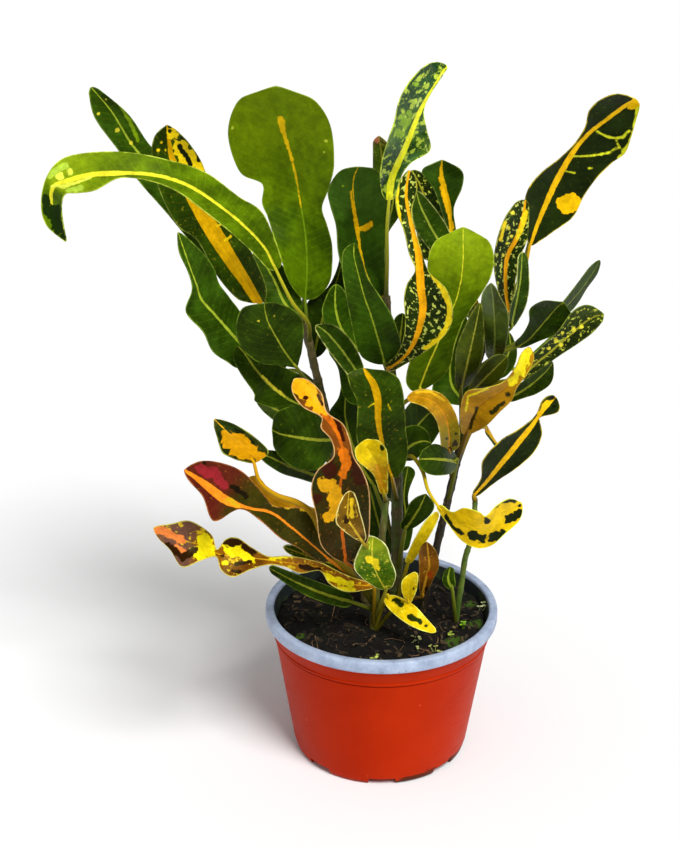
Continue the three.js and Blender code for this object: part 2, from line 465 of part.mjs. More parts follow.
   "rib": [[506, 399, -12], [520, 392, -15], [534, 382, -17], [546, 371, -18], [553, 362, -18]],
   "right": [[509, 403], [524, 398], [538, 393], [551, 383], [555, 368]],
   "cup": 3, "tilt": [0.4, 0.5], "wave": [0.7, 3, 0.3]},
  {"name": "right_mustard", "stem": "right_shoot", "at": 0.58, "look": "mustard",
   "stalk": [],
   "left": [[461, 434], [460, 412], [466, 392], [485, 388], [503, 382], [515, 368], [521, 354],
     [528, 346]],
   "rib": [[466, 434, -12], [473, 415, -28], [484, 402, -40], [499, 393, -48], [511, 382, -53],
     [521, 369, -56], [527, 357, -57], [530, 347, -56]],
   "right": [[471, 434], [486, 426], [500, 412], [512, 400], [517, 388], [528, 373], [534, 359],
     [532, 348]],
   "cup": 3, "tilt": [0.2, 0.5], "wave": [1.0, 3, 0.0]},
  {"name": "orange_hook", "stem": "right_shoot", "at": 0.52, "look": "orange",
   "stalk": [],
   "left": [[441, 452], [440, 436], [436, 420], [427, 409], [417, 404], [408, 402]],
   "rib": [[449, 452, -18], [449, 434, -32], [445, 416, -42], [434, 402, -50], [420, 397, -55],
     [407, 398, -58]],
   "right": [[459, 450], [460, 432], [455, 412], [443, 395], [424, 389], [408, 393]],
   "cup": 3, "tilt": [0.2, 0.5], "wave": [0.5, 3, 0]},
  {"name": "small_dark_low", "stem": "right_shoot", "at": 0.46, "look": "dark",
   "stalk": [],
   "left": [[456, 472], [445, 475], [432, 475], [422, 470], [418, 463]],
   "rib": [[457, 462, -10], [447, 460, -22], [436, 459, -29], [426, 459, -33], [419, 459, -35]],
   "right": [[456, 452], [446, 447], [434, 444], [424, 449], [419, 455]],
   "cup": 3, "tilt": [0.3, 0.3], "wave": [0.5, 2, 0]},
  {"name": "right_glossy", "stem": "right_shoot", "at": 0.76, "look": "glossy_olive",
   "stalk": [],
   "left": [[486, 360], [484, 332], [481, 310], [482, 295], [488, 284]],
   "rib": [[494, 360, -20], [495, 334, -34], [494, 312, -42], [493, 297, -45], [491, 283, -46]],
   "right": [[503, 358], [508, 334], [508, 313], [501, 298], [494, 284]],
   "cup": 3, "tilt": [-0.3, -0.3], "wave": [0.7, 3, 0.5]},
  {"name": "right_olive_dark", "stem": "right_shoot", "at": 0.66, "look": "olive_dark",
   "stalk": [],
   "left": [[455, 388], [455, 366], [457, 346], [467, 322], [477, 304]],
   "rib": [[461, 390, -20], [466, 368, -32], [471, 346, -39], [476, 324, -43], [480, 303, -45]],
   "right": [[470, 385], [480, 364], [484, 345], [484, 324], [482, 303]],
   "cup": 3, "tilt": [0.3, 0.3], "wave": [0.7, 3, 0.9]},
  {"name": "right_olive_low", "stem": "right_shoot", "at": 0.64, "look": "olive_dark",
   "stalk": [],
   "left": [[466, 390], [478, 372], [490, 358], [502, 353]],
   "rib": [[472, 392, -24], [485, 378, -32], [497, 366, -37], [507, 356, -40]],
   "right": [[480, 390], [496, 383], [506, 371], [509, 359]],
   "cup": 3, "tilt": [0.3, 0.3], "wave": [0.6, 2, 0]},
  {"name": "narrow_top", "stem": "right_shoot", "at": 0.9, "look": "pale_edge",
   "stalk": [[467, 300, 12]],
   "left": [[440, 262], [425, 244], [415, 228], [411, 208], [413, 193]],
   "rib": [[450, 262, 6], [438, 240, 4], [428, 222, 2], [420, 205, 0], [416, 191, -2]],
   "right": [[460, 258], [450, 232], [440, 215], [430, 202], [419, 190]],
   "cup": 2, "tilt": [0.4, 0.3], "wave": [0.6, 3, 0]},
  {"name": "small_spoon", "stem": "right_shoot", "at": 0.96, "look": "dark_spoon",
   "stalk": [[474, 296, 18]],
   "left": [[450, 262], [447, 232], [440, 207], [433, 188], [422, 172], [432, 162]],
   "rib": [[455, 262, 20], [451, 232, 20], [449, 207, 18], [444, 188, 16], [441, 172, 14],
     [442, 160, 10]],
   "right": [[460, 262], [456, 230], [454, 208], [462, 188], [463, 173], [452, 162]],
   "cup": 3, "tilt": [0.3, 0.2], "wave": [0.6, 3, 0.3]},
  {"name": "back_right_high", "stem": "right_shoot", "at": 0.95, "look": "olive",
   "stalk": [[478, 322, 26]],
   "left": [[462, 320], [448, 296], [442, 272], [448, 248]],
   "rib": [[468, 316, 39], [462, 292, 53], [460, 268, 63], [459, 246, 69]],
   "right": [[476, 312], [477, 290], [479, 266], [470, 248]],
   "cup": -3, "tilt": [0.3, 0.3], "wave": [1.0, 3, 0.2]},
  {"name": "back_right_far", "stem": "right_shoot", "at": 0.99, "look": "dark",
   "stalk": [[506, 312, 26], [520, 276, 39]],
   "left": [[526, 240], [536, 208], [552, 182], [576, 156]],
   "rib": [[530, 238, 50], [546, 208, 59], [565, 182, 64], [586, 156, 65]],
   "right": [[536, 238], [556, 212], [576, 188], [592, 160]],
   "cup": -3, "tilt": [-0.4, -0.4], "wave": [1.0, 3, 0.7]},
  {"name": "back_right_side", "stem": "right_shoot", "at": 0.75, "look": "green",
   "stalk": [[498, 374, 24]],
   "left": [[520, 364], [542, 344], [562, 326], [582, 316]],
   "rib": [[522, 368, 38], [546, 350, 50], [566, 334, 59], [586, 320, 64]],
   "right": [[526, 372], [552, 356], [572, 341], [588, 326]],
   "cup": -3, "tilt": [-0.4, -0.4], "wave": [0.9, 3, 0.1]},
  {"name": "back_right_low", "stem": "right_shoot", "at": 0.55, "look": "orange_rib",
   "stalk": [[472, 430, 23]],
   "left": [[486, 424], [500, 446], [512, 440]],
   "rib": [[486, 428, 39], [504, 450, 57], [520, 446, 69]],
   "right": [[484, 432], [506, 458], [524, 452]],
   "cup": -2, "tilt": [0.3, 0.3], "wave": [0.8, 3, 0.4]},
  {"name": "right_inner_mid", "stem": "right_shoot", "at": 0.62, "look": "green",
   "stalk": [],
   "left": [[456, 408], [434, 395], [435, 378], [446, 350], [460, 318]],
   "rib": [[466, 404, 16], [452, 386, 20], [450, 364, 24], [456, 340, 28], [465, 316, 31]],
   "right": [[474, 398], [470, 380], [465, 360], [465, 338], [468, 317]],
   "cup": 2, "tilt": [0.3, 0.3], "wave": [0.7, 3, 0.8]},
  {"name": "right_inner_top", "stem": "right_shoot", "at": 0.92, "look": "blotched",
   "stalk": [[470, 296, 24], [450, 270, 26]],
   "left": [[421, 262], [416, 228], [410, 196], [406, 173]],
   "rib": [[430, 260, 26], [430, 226, 29], [423, 193, 32], [412, 170, 34]],
   "right": [[440, 254], [444, 222], [436, 190], [418, 168]],
   "cup": 2, "tilt": [0.3, 0.3], "wave": [0.7, 3, 0.2]},
  {"name": "right_inner_far", "stem": "right_shoot", "at": 0.72, "look": "dark",
   "stalk": [],
   "left": [[487, 370], [496, 354], [502, 342], [506, 333]],
   "rib": [[492, 378, 14], [504, 362, 17], [510, 347, 20], [509, 332, 22]],
   "right": [[500, 382], [513, 368], [517, 352], [512, 334]],
   "cup": 1, "tilt": [0.3, 0.3], "wave": [0.5, 3, 0.3]},
  {"name": "left_yellow", "stem": "front_shoot", "at": 0.4, "look": "yellow_patch", "stalk_width": 4.6,
   "stalk": [[350, 572, -34], [328, 550, -48], [314, 517, -58], [298, 503, -62], [276, 495, -64],
     [260, 482, -64]],
   "left": [[248, 464], [232, 458], [222, 452], [217, 437], [213, 424]],
   "rib": [[254, 463, -64], [245, 450, -64], [235, 440, -63], [225, 430, -61], [214, 419, -58]],
   "right": [[264, 460], [268, 450], [252, 435], [236, 425], [217, 418]],
   "cup": 3, "tilt": [0.5, 0.5], "wave": [0.6, 3, 0.6]},
  {"name": "red_fiddle", "stem": "front_shoot", "at": 0.45, "look": "red",
   "stalk": [[352, 576, -30]],
   "left": [[322, 565], [300, 549], [280, 538], [262, 522], [240, 509], [214, 521], [203, 497],
     [190, 482], [184, 473]],
   "rib": [[330, 560, -48], [310, 543, -57], [291, 527, -64], [270, 512, -69], [245, 508, -73],
     [224, 499, -76], [208, 487, -78], [196, 478, -79], [184, 470, -79]],
   "right": [[336, 550], [322, 520], [303, 508], [275, 506], [262, 492], [243, 472], [222, 463],
     [202, 461], [186, 467]],
   "cup": 3, "tilt": [0.3, 0.5], "wave": [0.8, 4, 0.0]},
  {"name": "corkscrew", "stem": "front_shoot", "at": 0.3, "look": "corkscrew",
   "stalk": [],
   "left": [[372, 589], [348, 592], [330, 584], [320, 571], [300, 573], [285, 567], [268, 565],
     [250, 570], [233, 577], [221, 570], [216, 557], [200, 561], [182, 567], [170, 550], [155, 536]],
   "rib": [[374, 586, -28], [350, 584, -38], [332, 576, -44], [318, 567, -49], [302, 565, -53],
     [285, 562, -56], [268, 560, -59], [252, 558, -61], [236, 556, -63], [224, 555, -64],
     [216, 553, -65], [200, 545, -66], [182, 540, -67], [167, 533, -66], [153, 528, -64]],
   "right": [[373, 583], [352, 577], [336, 570], [322, 563], [303, 558], [286, 556], [268, 556],
     [253, 548], [238, 538], [226, 539], [217, 549], [211, 534], [190, 521], [170, 524], [154, 526]],
   "cup": 2, "tilt": [0.6, 0.5, -0.3, -0.2, 0.7, 0.6, 0.5, 0.6, 0.2, 0], "wave": [0.3, 3, 0]},
  {"name": "long_twist", "stem": "front_shoot", "at": 0.55, "look": "red_orange",
   "stalk": [[362, 570, -40]],
   "left": [[338, 562], [321, 545], [316, 515], [311, 490], [317, 471], [333, 457], [331, 440],
     [321, 428], [321, 417], [303, 407], [293, 394], [291, 382]],
   "rib": [[346, 562, -56], [343, 540, -66], [341, 515, -72], [340, 492, -76], [342, 473, -79],
     [344, 457, -80], [340, 440, -80], [333, 426, -78], [324, 414, -76], [312, 398, -72],
     [302, 387, -68], [294, 379, -64]],
   "right": [[356, 560], [368, 540], [370, 515], [369, 490], [363, 472], [354, 457], [350, 440],
     [343, 424], [327, 412], [322, 394], [310, 381], [297, 377]],
   "cup": 3, "tilt": [0.2, -0.2, 0.4, 0.8], "wave": [0.6, 4, 0.3]},
  {"name": "small_loop", "stem": "front_shoot", "at": 0.7, "look": "pale_edge_brown",
   "stalk": [[372, 548, -46], [366, 546, -66]],
   "left": [[358, 541], [344, 531], [336, 522], [338, 508], [345, 492]],
   "rib": [[362, 541, -84], [355, 530, -89], [348, 519, -91], [348, 506, -90], [349, 491, -86]],
   "right": [[367, 540], [364, 526], [360, 512], [357, 500], [353, 490]],
   "cup": 4, "tilt": [0.2, 0.2], "wave": [0.3, 3, 0]},
  {"name": "yellow_head", "stem": "front_shoot", "at": 1.0, "look": "yellow",
   "stalk": [],
   "left": [[380, 494], [374, 476], [366, 468], [357, 460], [355, 450], [360, 441]],
   "rib": [[384, 494, -36], [381, 476, -50], [376, 462, -58], [370, 452, -61], [366, 446, -62],
     [367, 439, -61]],
   "right": [[388, 494], [388, 476], [388, 460], [386, 449], [379, 441], [371, 438]],
   "cup": 4, "tilt": [0.2, 0.2], "wave": [0.4, 3, 0]},
  {"name": "green_cup", "stem": "front_shoot", "at": 0.34, "look": "green_yellow",
   "stalk": [],
   "left": [[380, 590], [362, 578], [354, 566], [360, 548], [368, 534]],
   "rib": [[386, 590, -36], [378, 576, -50], [373, 562, -58], [372, 548, -61], [373, 536, -60]],
   "right": [[392, 588], [396, 575], [391, 560], [387, 547], [378, 537]],
   "cup": 5, "tilt": [0.2, 0.2], "wave": [0.4, 3, 0]},
  {"name": "low_yellow", "stem": "front_shoot", "at": 0.27, "look": "yellow",
   "stalk": [[398, 604, -26]],
   "left": [[406, 602], [402, 592], [402, 581], [410, 573]],
   "rib": [[408, 603, -32], [409, 592, -36], [410, 582, -39], [414, 572, -40]],
   "right": [[411, 603], [416, 592], [418, 581], [418, 572]],
   "cup": 2, "tilt": [-0.3, -0.3], "wave": [0.3, 2, 0]},
  {"name": "soil_yellow", "stem": "front_shoot", "at": 0.25, "look": "yellow",
   "stalk": [],
   "left": [[390, 594], [402, 598], [415, 606], [427, 619], [437, 630]],
   "rib": [[386, 597, -26], [397, 606, -32], [410, 614, -38], [423, 624, -43], [436, 632, -47]],
   "right": [[382, 601], [393, 613], [406, 623], [420, 630], [434, 634]],
   "cup": -1, "tilt": [-0.6, -0.6], "wave": [0.3, 2, 0]},
  {"name": "yellow_shoulder", "stem": "front_shoot", "at": 0.42, "look": "mustard",
   "stalk": [],
   "left": [[324, 530], [302, 521], [282, 512], [264, 500], [244, 478]],
   "rib": [[330, 522, -22], [307, 514, -25], [286, 506, -28], [268, 496, -31], [251, 476, -33]],
   "right": [[334, 515], [311, 507], [291, 501], [273, 493], [257, 474]],
   "cup": 1, "tilt": [0.2, 0.2], "wave": [0.4, 3, 0.3]},
  {"name": "low_left_dark", "stem": "front_shoot", "at": 0.38, "look": "dark",
   "stalk": [],
   "left": [[350, 609], [322, 602], [296, 590], [269, 572]],
   "rib": [[352, 602, -26], [325, 594, -33], [298, 583, -38], [269, 568, -42]],
   "right": [[354, 595], [330, 586], [302, 576], [270, 564]],
   "cup": 1, "tilt": [0.3, 0.3], "wave": [0.5, 3, 0.3]},
  {"name": "low_left_yellow", "stem": "front_shoot", "at": 0.4, "look": "green_yellow",
   "stalk": [],
   "left": [[338, 573], [318, 567], [300, 560], [284, 551]],
   "rib": [[340, 566, -34], [318, 559, -42], [300, 553, -46], [283, 547, -49]],
   "right": [[342, 560], [320, 552], [302, 546], [284, 544]],
   "cup": 1, "tilt": [0.3, 0.3], "wave": [0.5, 3, 0.9]},
  {"name": "low_right_dark", "stem": "small_shoot", "at": 1.0, "look": "orange_rib",
   "stalk": [],
   "left": [[472, 493], [481, 478], [483, 460], [500, 441], [516, 431], [530, 421], [537, 413],
     [542, 401], [551, 393]],
   "rib": [[474, 495, -18], [486, 482, -22], [499, 466, -26], [512, 450, -29], [524, 435, -31],
     [533, 424, -32], [539, 415, -32], [548, 405, -32], [555, 396, -30]],
   "right": [[477, 497], [497, 481], [518, 467], [534, 452], [542, 435], [540, 422], [541, 417],
     [558, 412], [560, 400]],
   "cup": 3, "tilt": [0.3, 0.4], "wave": [0.8, 3, 0.0]},
  {"name": "small_green", "stem": "small_shoot", "at": 0.3, "look": "green",
   "stalk": [],
   "left": [[448, 590], [442, 580], [446, 568]],
   "rib": [[452, 588, -18], [448, 579, -22], [450, 567, -23]],
   "right": [[456, 586], [455, 577], [454, 567]],
   "cup": 1, "tilt": [0.2, 0.2], "wave": [0.2, 2, 0]}
];

// ---------------------------------------------------------------- curves

// The point at part u of the smooth curve through the given points.
function along(points, u) {
  const last = points.length - 1;
  if (last === 0) {
    return points[0].clone();
  }
  const place = Math.min(Math.max(u, 0), 1) * last;
  const i = Math.min(Math.floor(place), last - 1);
  const f = place - i;
  const p1 = points[i];
  const p2 = points[i + 1];
  const p0 = i > 0 ? points[i - 1] : p1.clone().multiplyScalar(2).sub(p2);
  const p3 = i < last - 1 ? points[i + 2] : p2.clone().multiplyScalar(2).sub(p1);
  const result = p1.clone().multiplyScalar(2);
  result.addScaledVector(p2.clone().sub(p0), f);
  const square = p0.clone().multiplyScalar(2);
  square.addScaledVector(p1, -5).addScaledVector(p2, 4).sub(p3);
  result.addScaledVector(square, f * f);
  const cube = p1.clone().multiplyScalar(3);
  cube.addScaledVector(p2, -3).sub(p0).add(p3);
  result.addScaledVector(cube, f * f * f);
  return result.multiplyScalar(0.5);
}

// The same curve through plain numbers.
function alongNumbers(numbers, u) {
  return along(numbers.map((value) => new THREE.Vector3(value, 0, 0)), u).x;
}

// ---------------------------------------------------------------- solids and booleans

function geometryFrom(positions, triangles) {
  const geometry = new THREE.BufferGeometry();
  geometry.setAttribute("position", new THREE.Float32BufferAttribute(positions.flat(), 3));
  geometry.setIndex(triangles.flat());
  return geometry;
}

function solidFrom(geometry) {
  const bare = geometry.clone();
  bare.deleteAttribute("normal");
  bare.deleteAttribute("uv");
  const merged = mergeVertices(bare, 1e-4);
  return new wasm.Manifold(new wasm.Mesh({
    numProp: 3,
    vertProperties: new Float32Array(merged.attributes.position.array),
    triVerts: new Uint32Array(merged.index.array)
  }));
}

function geometryOf(solid) {
  const mesh = solid.getMesh();
  const geometry = new THREE.BufferGeometry();
  geometry.setAttribute("position", new THREE.BufferAttribute(mesh.vertProperties, 3));
  geometry.setIndex(new THREE.BufferAttribute(mesh.triVerts, 1));
  geometry.computeVertexNormals();
  return geometry;
}

// The largest connected body of a solid: loose scraps and sealed hollows are left behind.
function mainBody(solid) {
  const bodies = solid.decompose();
  let best = bodies[0];
  for (const body of bodies) {
    if (body.volume() > best.volume()) {
      best = body;
    }
  }
  return best;
}

function partMesh(name, geometry, colour, roughness) {
  const material = new THREE.MeshStandardMaterial({ color: colour, roughness, metalness: 0 });
  const mesh = new THREE.Mesh(geometry, material);
  mesh.name = name;
  return mesh;
}

function standing(radius, low, high, x, y, sides) {
  const geometry = new THREE.CylinderGeometry(radius, radius, high - low, sides);
  geometry.rotateX(Math.PI / 2);
  geometry.translate(x, y, (low + high) / 2);
  return solidFrom(geometry);
}

// ---------------------------------------------------------------- pot

function outerRadius(z) {
  return BASE_RADIUS + (RIM_RADIUS - LIP_WIDTH * 0.5 - BASE_RADIUS) * (z / POT_HEIGHT);
}

function makePot() {
  const lipLow = POT_HEIGHT - LIP_DEPTH;
  const ringHigh = POT_HEIGHT - STACKING_RING_DROP;
  const ringLow = ringHigh - RING_BAND;
  const profile = [
    [0, 0],
    [CENTRE_BOSS_RADIUS, 0],
    [CENTRE_BOSS_RADIUS + 1.5, FOOT_RISE],
    [FOOT_INNER_RADIUS - 1, FOOT_RISE],
    [FOOT_INNER_RADIUS, 0],
    [BASE_RADIUS - BASE_CORNER, 0],
    [BASE_RADIUS - 0.27 * BASE_CORNER, 0.3 * BASE_CORNER],
    [outerRadius(BASE_CORNER), BASE_CORNER],
    [outerRadius(ringLow) - RING_GROOVE, ringLow],
    [outerRadius(ringLow) + RING_PROUD, ringLow + RING_PROUD],
    [outerRadius(ringHigh) + RING_PROUD, ringHigh],
    [outerRadius(ringHigh) + 0.2, ringHigh + RING_PROUD],
    [RIM_RADIUS - EDGE_ROUND, lipLow - 0.4],
    [RIM_RADIUS - 0.4, lipLow + 0.6],
    [RIM_RADIUS, POT_HEIGHT - EDGE_ROUND],
    [RIM_RADIUS - EDGE_ROUND, POT_HEIGHT],
    [RIM_RADIUS - LIP_WIDTH + LIP_STEP, POT_HEIGHT],
    [RIM_RADIUS - LIP_WIDTH, POT_HEIGHT - LIP_STEP],
    [outerRadius(lipLow - UNDER_LIP) - WALL - LIP_STEP, lipLow - UNDER_LIP],
    [outerRadius(FLOOR_TOP + FLOOR_CORNER) - WALL, FLOOR_TOP + FLOOR_CORNER],
    [outerRadius(FLOOR_TOP) - WALL - FLOOR_INSET, FLOOR_TOP],
    [0, FLOOR_TOP]
  ];
  const points = profile.map(([radius, z]) => new THREE.Vector2(radius, z));
  const lathe = new THREE.LatheGeometry(points, POT_SIDES);
  lathe.rotateX(Math.PI / 2);
  let pot = solidFrom(lathe);
  for (let i = 0; i < DRAIN_HOLES; i += 1) {
    const angle = (i / DRAIN_HOLES) * 2 * Math.PI;
    const x = DRAIN_RING_RADIUS * Math.cos(angle);
    const y = DRAIN_RING_RADIUS * Math.sin(angle);
    pot = pot.subtract(standing(DRAIN_HOLE_RADIUS, -1, FLOOR_TOP + 1, x, y, HOLE_SIDES));
  }
  for (let i = 0; i < FOOT_NOTCHES; i += 1) {
    const notch = new THREE.BoxGeometry(NOTCH_LENGTH, NOTCH_WIDTH, NOTCH_HEIGHT);
    notch.translate(BASE_RADIUS - NOTCH_LENGTH / 4, 0, 0);
    notch.rotateZ((i / FOOT_NOTCHES) * 2 * Math.PI);
    pot = pot.subtract(solidFrom(notch));
  }
  return mainBody(pot);
}

// ---------------------------------------------------------------- potting mix

function soilHeight(x, y) {
  const broad = Math.sin(x * 0.11 + 0.4) * Math.cos(y * 0.13 - 0.7);
  const fine = Math.sin(x * 0.37 + y * 0.29) * 0.5 + Math.cos(x * 0.23 - y * 0.41) * 0.4;
  return SOIL_TOP + SOIL_BUMP * (broad + fine);
}

function soilRadius(z) {
  const lipLow = POT_HEIGHT - LIP_DEPTH;
  const corner = FLOOR_TOP + FLOOR_CORNER;
  const low = outerRadius(corner) - WALL;
  const high = outerRadius(lipLow - UNDER_LIP) - WALL - LIP_STEP;
  const part = (z - corner) / (lipLow - UNDER_LIP - corner);
  const inner = low + (high - low) * Math.min(part, 1.02);
  return inner * Math.cos(Math.PI / POT_SIDES) - SOIL_GAP;
}

function makeSoil() {
  const bottom = FLOOR_TOP + SOIL_GAP;
  const rings = [0.2, 0.42, 0.64, 0.84, 1.0];
  const positions = [[0, 0, bottom]];
  const layers = [];
  const addRing = (radius, heightAt) => {
    const layer = [];
    for (let i = 0; i < SOIL_SIDES; i += 1) {
      const angle = (i / SOIL_SIDES) * 2 * Math.PI;
      const x = radius * Math.cos(angle);
      const y = radius * Math.sin(angle);
      layer.push(positions.length);
      positions.push([x, y, heightAt(x, y)]);
    }
    layers.push(layer);
  };
  const corner = FLOOR_TOP + FLOOR_CORNER + 1;
  const shoulder = SOIL_TOP - SOIL_SHOULDER;
  const wide = soilRadius(shoulder);
  addRing(outerRadius(FLOOR_TOP) - WALL - FLOOR_INSET - 1, () => bottom);
  addRing(soilRadius(corner), () => corner);
  addRing(wide, () => shoulder);
  for (const part of [...rings].reverse()) {
    addRing(wide * part, (x, y) => soilHeight(x, y) - (part > 0.95 ? SOIL_EDGE_DIP : 0));
  }
  const top = positions.length;
  positions.push([0, 0, soilHeight(0, 0)]);
  const triangles = [];
  for (let i = 0; i < SOIL_SIDES; i += 1) {
    const j = (i + 1) % SOIL_SIDES;
    triangles.push([0, layers[0][j], layers[0][i]]);
    for (let k = 0; k < layers.length - 1; k += 1) {
      triangles.push([layers[k][i], layers[k][j], layers[k + 1][j]]);
      triangles.push([layers[k][i], layers[k + 1][j], layers[k + 1][i]]);
    }
    const last = layers[layers.length - 1];
    triangles.push([last[i], last[j], top]);
  }
  let soil = solidFrom(geometryFrom(positions, triangles));
  for (const stem of Object.values(STEMS)) {
    const [x, y] = stem.foot;
    const radius = stem.radii[0] * 1.04 + HOLE_GAP;
    soil = soil.subtract(standing(radius, STEM_FOOT - HOLE_GAP, POT_HEIGHT, x, y, HOLE_SIDES));
  }
  return mainBody(soil);
}

// ---------------------------------------------------------------- stems

function stemPoints(stem) {
  const [x, y] = stem.foot;
  const buried = new THREE.Vector3(x, y, STEM_FOOT);
  const middle = new THREE.Vector3(x, y, (STEM_FOOT + SOIL_TOP) / 2 + 2);
  const collar = new THREE.Vector3(x, y, SOIL_TOP + COLLAR_RISE);
  return [buried, middle, collar, ...stem.path.map(seen)];
}

// ---------------------------------------------------------------- leaf blades and stalks

function pointsOf(list) {
  return list.map(([column, row, depth]) => new THREE.Vector3(column, row, depth ?? 0));
}

// The point of a leaf's middle surface at part u of its length and s across, -1 to 1.
function leafPoint(leaf, curves, u, s) {
  const rib = along(curves.rib, u);
  const edge = along(s < 0 ? curves.left : curves.right, u);
  const a = Math.abs(s);
  const dx = edge.x - rib.x;
  const dy = edge.y - rib.y;
  const breadth = Math.hypot(dx, dy) * PIXEL_MM * Math.sign(s);
  const [height, waves, phase] = leaf.wave;
  const part = Math.min(1, Math.abs(breadth) / RIPPLE_BREADTH);
  const shift = s > 0 ? 0 : RIPPLE_SHIFT;
  const ripple = height * part * a * a * Math.sin(2 * Math.PI * waves * u + phase + shift);
  const cup = leaf.cup * part * Math.pow(a, 1.5);
  const turn = alongNumbers(leaf.tilt, u) * breadth * a;
  return seen([rib.x + dx * a, rib.y + dy * a, rib.z - cup + turn + ripple]);
}

function makeBlade(leaf, curves) {
  const spans = leaf.rib.length - 1;
  const segments = spans >= 6 ? spans : spans + 1;
  let widest = 0;
  for (let i = 0; i <= spans; i += 1) {
    const gap = curves.left[i].distanceTo(curves.right[i]) * PIXEL_MM;
    widest = Math.max(widest, gap);
  }
  const across = widest > BROAD_LEAF ? [-1, -0.5, 0, 0.5, 1] : [-1, 0, 1];
  const columns = across.length;
  const positions = [];
  const rows = [];
  let normal = new THREE.Vector3(0, -1, 0);
  for (let i = 0; i <= segments; i += 1) {
    const u = i / segments;
    const row = across.map((s) => leafPoint(leaf, curves, u, s));
    const ahead = leafPoint(leaf, curves, Math.min(u + 0.01, 1), 0);
    const behind = leafPoint(leaf, curves, Math.max(u - 0.01, 0), 0);
    const tangent = ahead.sub(behind).normalize();
    const wide = row[columns - 1].clone().sub(row[0]);
    const fresh = wide.cross(tangent);
    if (fresh.length() > 0.6) {
      fresh.normalize();
      normal = fresh.dot(normal) < 0 ? fresh.negate() : fresh;
    }
    rows.push(row.map((point, j) => {
      const a = Math.abs(across[j]);
      const half = (RIB_THICKNESS + (BLADE_THICKNESS - RIB_THICKNESS) * a) / 2;
      positions.push(point.clone().addScaledVector(normal, half).toArray());
      positions.push(point.clone().addScaledVector(normal, -half).toArray());
      return [positions.length - 2, positions.length - 1];
    }));
  }
  const triangles = [];
  const quad = (a, b, c, d) => {
    triangles.push([a, b, c], [a, c, d]);
  };
  const end = columns - 1;
  for (let i = 0; i < segments; i += 1) {
    const near = rows[i];
    const far = rows[i + 1];
    for (let j = 0; j < end; j += 1) {
      const [front, back] = [0, 1];
      quad(near[j][front], near[j + 1][front], far[j + 1][front], far[j][front]);
      triangles.push([near[j][back], far[j + 1][back], near[j + 1][back]]);
      triangles.push([near[j][back], far[j][back], far[j + 1][back]]);
    }
    quad(near[0][0], far[0][0], far[0][1], near[0][1]);
    quad(near[end][0], near[end][1], far[end][1], far[end][0]);
  }
  const tip = rows[segments];
  for (let j = 0; j < end; j += 1) {
    quad(rows[0][j][0], rows[0][j][1], rows[0][j + 1][1], rows[0][j + 1][0]);
    quad(tip[j][0], tip[j + 1][0], tip[j + 1][1], tip[j][1]);
  }
  const solid = solidFrom(geometryFrom(positions, triangles));
  if (solid.volume() >= 0) {
    return solid;
  }
  return solidFrom(geometryFrom(positions, triangles.map(([a, b, c]) => [a, c, b])));
}

// A round rod through points with a radius at each end.
function makeRod(points, stations, firstRadius, lastRadius, sides) {
  const positions = [];
  const rings = [];
  let side = null;
  let last = null;
  stations.forEach((u) => {
    const centre = along(points, u);
    const ahead = along(points, Math.min(u + 0.005, 1));
    const tangent = ahead.sub(along(points, Math.max(u - 0.005, 0))).normalize();
    const level = Math.abs(tangent.y) < 0.9 ? new THREE.Vector3(0, 1, 0) : new THREE.Vector3(1, 0, 0);
    const start = side ?? level;
    side = start.clone().addScaledVector(tangent, -start.dot(tangent)).normalize();
    const front = tangent.clone().cross(side);
    const radius = firstRadius + (lastRadius - firstRadius) * u;
    const ring = [];
    for (let i = 0; i < sides; i += 1) {
      const angle = (i / sides) * 2 * Math.PI;
      const point = centre.clone();
      point.addScaledVector(side, radius * Math.cos(angle));
      point.addScaledVector(front, radius * Math.sin(angle));
      ring.push(positions.length);
      positions.push(point.toArray());
    }
    rings.push(ring);
    last = { centre, tangent, radius };
  });
  const low = positions.length;
  positions.push(along(points, stations[0]).toArray());
  const high = positions.length;
  positions.push(last.centre.addScaledVector(last.tangent, last.radius * ROD_POINT).toArray());
  const triangles = [];
  for (let i = 0; i < sides; i += 1) {
    const j = (i + 1) % sides;
    triangles.push([low, rings[0][j], rings[0][i]]);
    for (let k = 0; k < rings.length - 1; k += 1) {
      triangles.push([rings[k][i], rings[k][j], rings[k + 1][j]]);
      triangles.push([rings[k][i], rings[k + 1][j], rings[k + 1][i]]);
    }
    triangles.push([rings[rings.length - 1][i], rings[rings.length - 1][j], high]);
  }
  return solidFrom(geometryFrom(positions, triangles));
}

function makeStem(stem) {
  const points = stemPoints(stem);
  const spans = points.length - 1;
  const stations = [0, 1 / spans];
  for (let i = 3; i <= spans * 2; i += 1) {
    stations.push(i / 2 / spans);
  }
  return makeRod(points, stations, stem.radii[0], stem.radii[1], STEM_SIDES);
}

function makeLeaf(leaf) {
  const curves = { left: pointsOf(leaf.left), rib: pointsOf(leaf.rib), right: pointsOf(leaf.right) };
  const blade = makeBlade(leaf, curves);
  const root = along(stemPoints(STEMS[leaf.stem]), leaf.at);
  const spans = leaf.rib.length - 1;
  const inBlade = [0, SINK / spans].map((u) => leafPoint(leaf, curves, u, 0));
  const path = [root, ...leaf.stalk.map(seen), ...inBlade];
  const steps = Math.max(3, leaf.stalk.length + 2);
  const stations = [];
  for (let i = 0; i <= steps; i += 1) {
    stations.push(i / steps);
  }
  const radius = (leaf.stalk_width ?? STALK_WIDTH) / 2;
  return blade.add(makeRod(path, stations, radius, STALK_END_RADIUS, STALK_SIDES));
}

function makeShoot(name) {
  let shoot = makeStem(STEMS[name]);
  for (const leaf of LEAVES) {
    if (leaf.stem === name) {
      shoot = shoot.add(makeLeaf(leaf));
    }
  }
  return mainBody(shoot);
}

// ---------------------------------------------------------------- the plant

